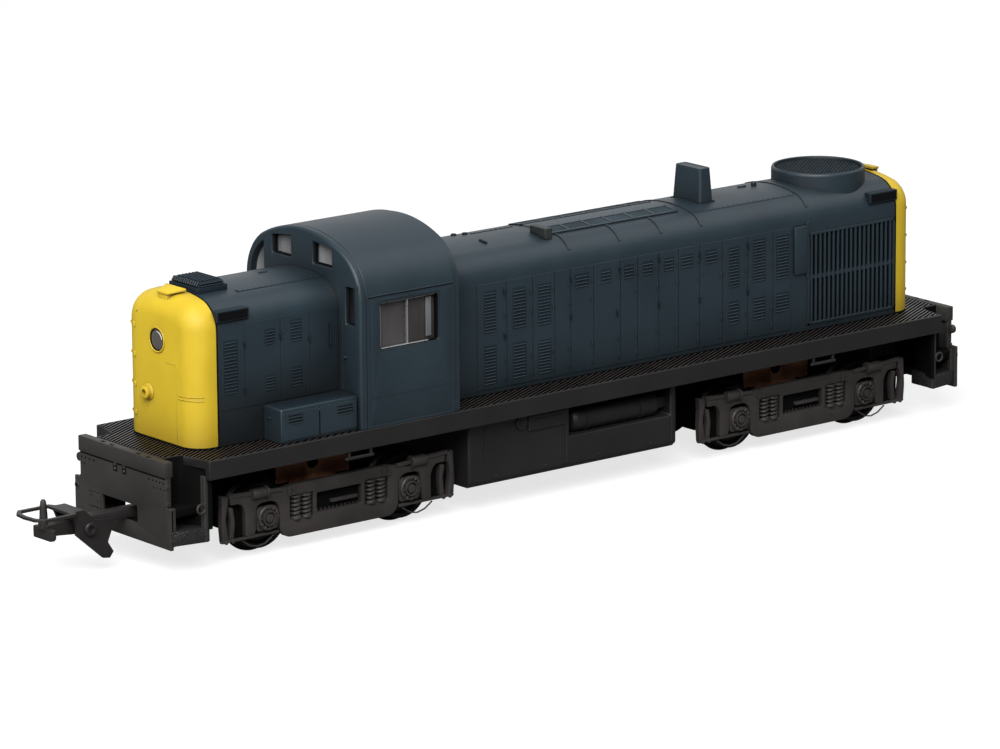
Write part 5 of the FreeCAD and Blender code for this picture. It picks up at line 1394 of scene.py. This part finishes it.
def glazing(name, dark, light):
    """Thick clear styrene over the cab's grey inside; its tone and upright streaks are painted
    reflection and shade.
    """
    made, tree = new_material(name)
    spot = add(tree, "TexCoord").outputs["Object"]
    # The streaks are a few millimetres wide and four times as tall.
    upright = add(tree, "Mapping", [("Vector", spot), ("Scale", (1.0, 1.0, 0.25))])
    streak = add(tree, "TexNoise", [("Vector", upright.outputs[0]), ("Scale", 220.0),
                                    ("Detail", 2.0)])
    tone = add(tree, "ValToRGB", [(0, streak.outputs[0])])
    tone.color_ramp.elements[0].position = 0.35
    tone.color_ramp.elements[0].color = linear(dark)
    tone.color_ramp.elements[1].position = 0.7
    tone.color_ramp.elements[1].color = linear(light)
    skin = add(tree, "BsdfPrincipled", [("Base Color", tone.outputs[0]), ("Roughness", 0.14),
                                        ("IOR", 1.5)])
    through = add(tree, "BsdfTransparent", [("Color", linear("#8a8785"))])
    both = add(tree, "MixShader", [(0, 0.22), (1, skin.outputs[0]), (2, through.outputs[0])])
    add(tree, "OutputMaterial", [("Surface", both.outputs[0])])
    return made


# The panes differ only in painted light: the end panes pale with reflection, the side panes darker,
# and the tall panes nearly black with shade.
side_pane = glazing("clear_polystyrene_side_pane", "#383534", "#555253")
end_pane = glazing("clear_polystyrene_end_pane", "#6b6c6e", "#9a9c9e")
tall_pane = glazing("clear_polystyrene_tall_pane", "#15191c", "#3a4146")

for end in ("front", "rear"):
    dressed("cab_end_" + end, "cab_wall_" + end, "locomotive", blue_grey, 0.18)
    dressed("cab_panes_" + end, "cab_glazing_" + end, "locomotive", end_pane, 0.06)
dressed("cab_roof_moulding", "cab_roof", "locomotive", blue_grey, 0.1)


def rim(mesh, outline, lay, depth, width):
    """A thin frame that follows a window's outline inside its opening."""
    middle = sum((Vector((c[0], c[1])) for c in outline), Vector((0, 0))) / len(outline)
    inner = []
    for a, b, r in outline:
        inner.append((a - math.copysign(width, a - middle.x), b - math.copysign(width, b
                      - middle.y), r))
    plate(mesh, outline, lay, depth, [inner], soft=0.03)


SIDE_WINDOW = [(34.1, 13.35, 0.6), (46.55, 13.35, 0.6), (46.55, 21.55, 0.6), (34.1, 21.55, 0.6)]
CAB_FACE, PANE_FACE = 16.2, 15.3
for name, side in (("left", 1), ("right", -1)):
    dressed("cab_side_panel_" + name, "cab_side_" + name, "locomotive", blue_grey,
            0.16)
    dressed("cab_side_pane_" + name, "side_glazing_" + name, "locomotive", side_pane,
            0.06)
    # A raised panel round the window, a seam low on it, the drip rail under the roof, and rivets.
    mesh = bmesh.new()
    plate(mesh, [(31.4, 0.7, 0.2), (48.6, 0.7, 0.2), (48.6, 22.2, 0.2), (31.4, 22.2, 0.2)],
          across_loco, sorted((side * CAB_FACE, side * (CAB_FACE + 0.16))),
          [[(a + (0.35 if a > 40 else -0.35), b + (0.35 if b > 17 else -0.35), r)
            for a, b, r in SIDE_WINDOW]], soft=0.04)
    block(mesh, (31.4, side * 16.3 - 0.1, 5.1), (48.6, side * 16.3 + 0.1, 5.25), 0.04)
    block(mesh, (30.7, side * 16.24 - 0.12, 22.75), (49.3, side * 16.24 + 0.12, 22.98), 0.08)
    for x, h in ((32.3, 12.4), (47.6, 12.4), (47.6, 21.7), (32.3, 21.7)):
        rivet(mesh, (x, side * 16.26, h), 0.13)
    piece("cab_side_relief_" + name, mesh, "locomotive", blue_grey, base=MIDDLE)
    # The silver edges: a bar between the two panes, and three edges of the window.
    mesh = bmesh.new()
    edge_y = side * 15.7
    block(mesh, (40.2, side * 15.5 - 0.3, 13.5), (40.45, side * 15.5 + 0.3, 21.4), 0.06)
    block(mesh, (46.25, edge_y - 0.3, 13.7), (46.42, edge_y + 0.3, 21.3), 0.06)
    block(mesh, (34.6, edge_y - 0.3, 21.28), (46.2, edge_y + 0.3, 21.45), 0.06)
    block(mesh, (36.0, edge_y - 0.3, 13.45), (46.2, edge_y + 0.3, 13.58), 0.05)
    piece("cab_side_rims_" + name, mesh, "locomotive", silver, base=MIDDLE)
    # The window's reveal, three low slots and the joint under the roof, all in near-black painted
    # shade.
    mesh = bmesh.new()
    rim(mesh, SIDE_WINDOW, across_loco, sorted((side * 15.15, side * 16.05)), 0.12)
    for h in (1.4, 1.85, 2.3):
        block(mesh, (42.4, side * CAB_FACE - 0.1, h), (45.2, side * CAB_FACE + 0.1, h + 0.12),
              0.04)
    block(mesh, (30.9, side * 16.22 - 0.1, 22.64), (49.1, side * 16.22 + 0.1, 22.74), 0.03)
    piece("cab_side_shades_" + name, mesh, "locomotive", shade_black, base=MIDDLE)
    # Pale bands of painted reflection where the pane's edges bend.
    mesh = bmesh.new()
    for rear, front in ((34.9, 36.1), (45.7, 46.3)):
        block(mesh, (rear, side * PANE_FACE - 0.1, 14.0), (front, side * PANE_FACE + 0.1, 20.9),
              0.09)
    piece("cab_side_pane_glints_" + name, mesh, "locomotive", end_pane, base=MIDDLE)

# Each end has two small windows over the hood and a tall one beside it. The wall's outside is
# where the door's joints lie, and the panes' outside lies a little further in.
for end, way, wall, face in (("front", 1, 50.75, 50.3), ("rear", -1, 29.3, 29.75)):
    # The rims inside the openings are drawn in near-black painted shade.
    mesh = bmesh.new()
    depth = sorted((face - way * 0.55, face - way * 0.2))
    for side in (1, -1):
        corner = [(side * 3.1, 26.75, 0.3), (side * 8.5, 26.75, 0.3), (side * 8.5, 30.05, 0.3),
                  (side * 3.1, 30.65, 0.3)]
        rim(mesh, corner, across_end, depth, 0.26)
    rim(mesh, [(way * 12.2, 17.8, 0.3), (way * 14.7, 17.8, 0.3), (way * 14.7, 24.3, 0.3),
               (way * 12.2, 24.3, 0.3)], across_end, depth, 0.22)
    piece("cab_end_rim_shades_" + end, mesh, "locomotive", shade_black, base=MIDDLE)
    mesh = bmesh.new()
    pane = sorted((face - way * 0.5, face - way * 0.42))
    plate(mesh, [(way * 12.35, 17.95, 0.2), (way * 14.55, 17.95, 0.2), (way * 14.55, 24.15, 0.2),
                 (way * 12.35, 24.15, 0.2)], across_end, pane, soft=0.02)
    piece("cab_end_tall_panes_" + end, mesh, "locomotive", tall_pane, base=MIDDLE)
    # The door in the end wall: its two upright joints and its handle.
    mesh = bmesh.new()
    for y in (11.3, 15.6):
        block(mesh, (wall - 0.1, way * y - 0.07, 6.3 if way > 0 else 0.6),
              (wall + 0.1, way * y + 0.07, 25.0), 0.04)
    rod(mesh, (wall - 0.2, way * 12.0, 12.0), (wall + way * 0.35, way * 12.0, 12.0), 0.3,
        steps=12, soft=0.05)
    piece("cab_end_relief_" + end, mesh, "locomotive", blue_grey, base=MIDDLE)

# ---- Coupler -----------------------------------------------------------------------------
# A black moulded shank with a head block, a slightly bowed buffing plate and an upright hook,
# and a flat lifting loop on a pin through the head, with its trip lever hanging on the left arm.
coupler_plastic = moulded_plastic("black_acetal_dusty", "#262322", "#181616", 0.5, 0.8)

EYE_RADIUS = 2.25
pin_x = corners("coupler_body")[0].x + EYE_RADIUS - MIDDLE.x
# The front coupler lies as high as the middle of the rear pocket's pin.
h = corners("coupler_pocket_rear")[0].z + 0.95 - MIDDLE.z
loop_pin = Vector((pin_x + 17.5, 0, h - 0.8))


def up_coupler(a, b, c):
    """Lays a plate's outline upright along the coupler, thickness across it."""
    return Vector((pin_x + a, c, h + b))


mesh = bmesh.new()
# The shank and the eye round the pocket's pin.
plate(mesh, [(-2.2, -1.1, 0.9), (16.9, -1.1, 0), (16.9, 1.1, 0), (-2.2, 1.1, 0.9)],
      lambda a, b, c: Vector((pin_x + a, b, h + c)), (-0.8, 0.8), soft=0.12)
turn(mesh, [(-0.8, 1.26), (-0.8, 2.1), (-0.65, EYE_RADIUS), (0.65, EYE_RADIUS), (0.8, 2.1),
            (0.8, 1.26), (-0.8, 1.26)], (pin_x, 0, h), (0, 0, 1), 40)
# The head block, the buffing plate bowed by its lay, and the hook.
plate(mesh, [(16.7, -2.0, 0.3), (16.7, 0.8, 0.3), (18.6, 0.95, 0.3), (25.0, 0.7, 0.2),
             (25.0, -1.2, 0.3)], up_coupler, (-1.4, 1.4), soft=0.16)
plate(mesh, [(-2.9, -2.0, 0.4), (2.9, -1.9, 0.7), (2.9, 0.1, 0.2), (-2.9, 0.1, 0.5)],
      lambda a, b, c: Vector((pin_x + 25.3 + c - 0.045 * a * a, a, h + b)), (-0.8, 0.0), soft=0.14)
turn(mesh, [(0.0, 0.0), (0.0, 0.85), (1.0, 0.75), (3.6, 0.62), (4.5, 0.5), (4.85, 0.32),
            (5.0, 0.0)], (pin_x + 24.7, 0, h), (0, 0, 1), 28)
rod(mesh, loop_pin - Vector((0, 3.05, 0)), loop_pin + Vector((0, 3.05, 0)), 0.48, steps=20,
    soft=0.1)
for side in (1, -1):
    # The arm's boss stands out as a ring round the pin's hollow end.
    turn(mesh, [(2.95, 0.5), (2.95, 1.15), (3.35, 1.15), (3.5, 1.0), (3.5, 0.62), (3.1, 0.5),
                (2.95, 0.5)], loop_pin, (0, side, 0), 28)
    turn(mesh, [(2.95, 0.0), (3.08, 0.52), (2.9, 0.52), (2.9, 0.0)], loop_pin, (0, side, 0), 28)
piece("coupler_hook_and_shank", mesh, "coupler", coupler_plastic,
      ["coupler_body"], base=MIDDLE)
dressed("coupler_lifting_loop", "coupler_loop", "loop", coupler_plastic, 0.12)

# ---- Finish ------------------------------------------------------------------------------
# The motor and its weight are one dark block, closed in by the long hood.
finish_node("motor_block", shade_black)
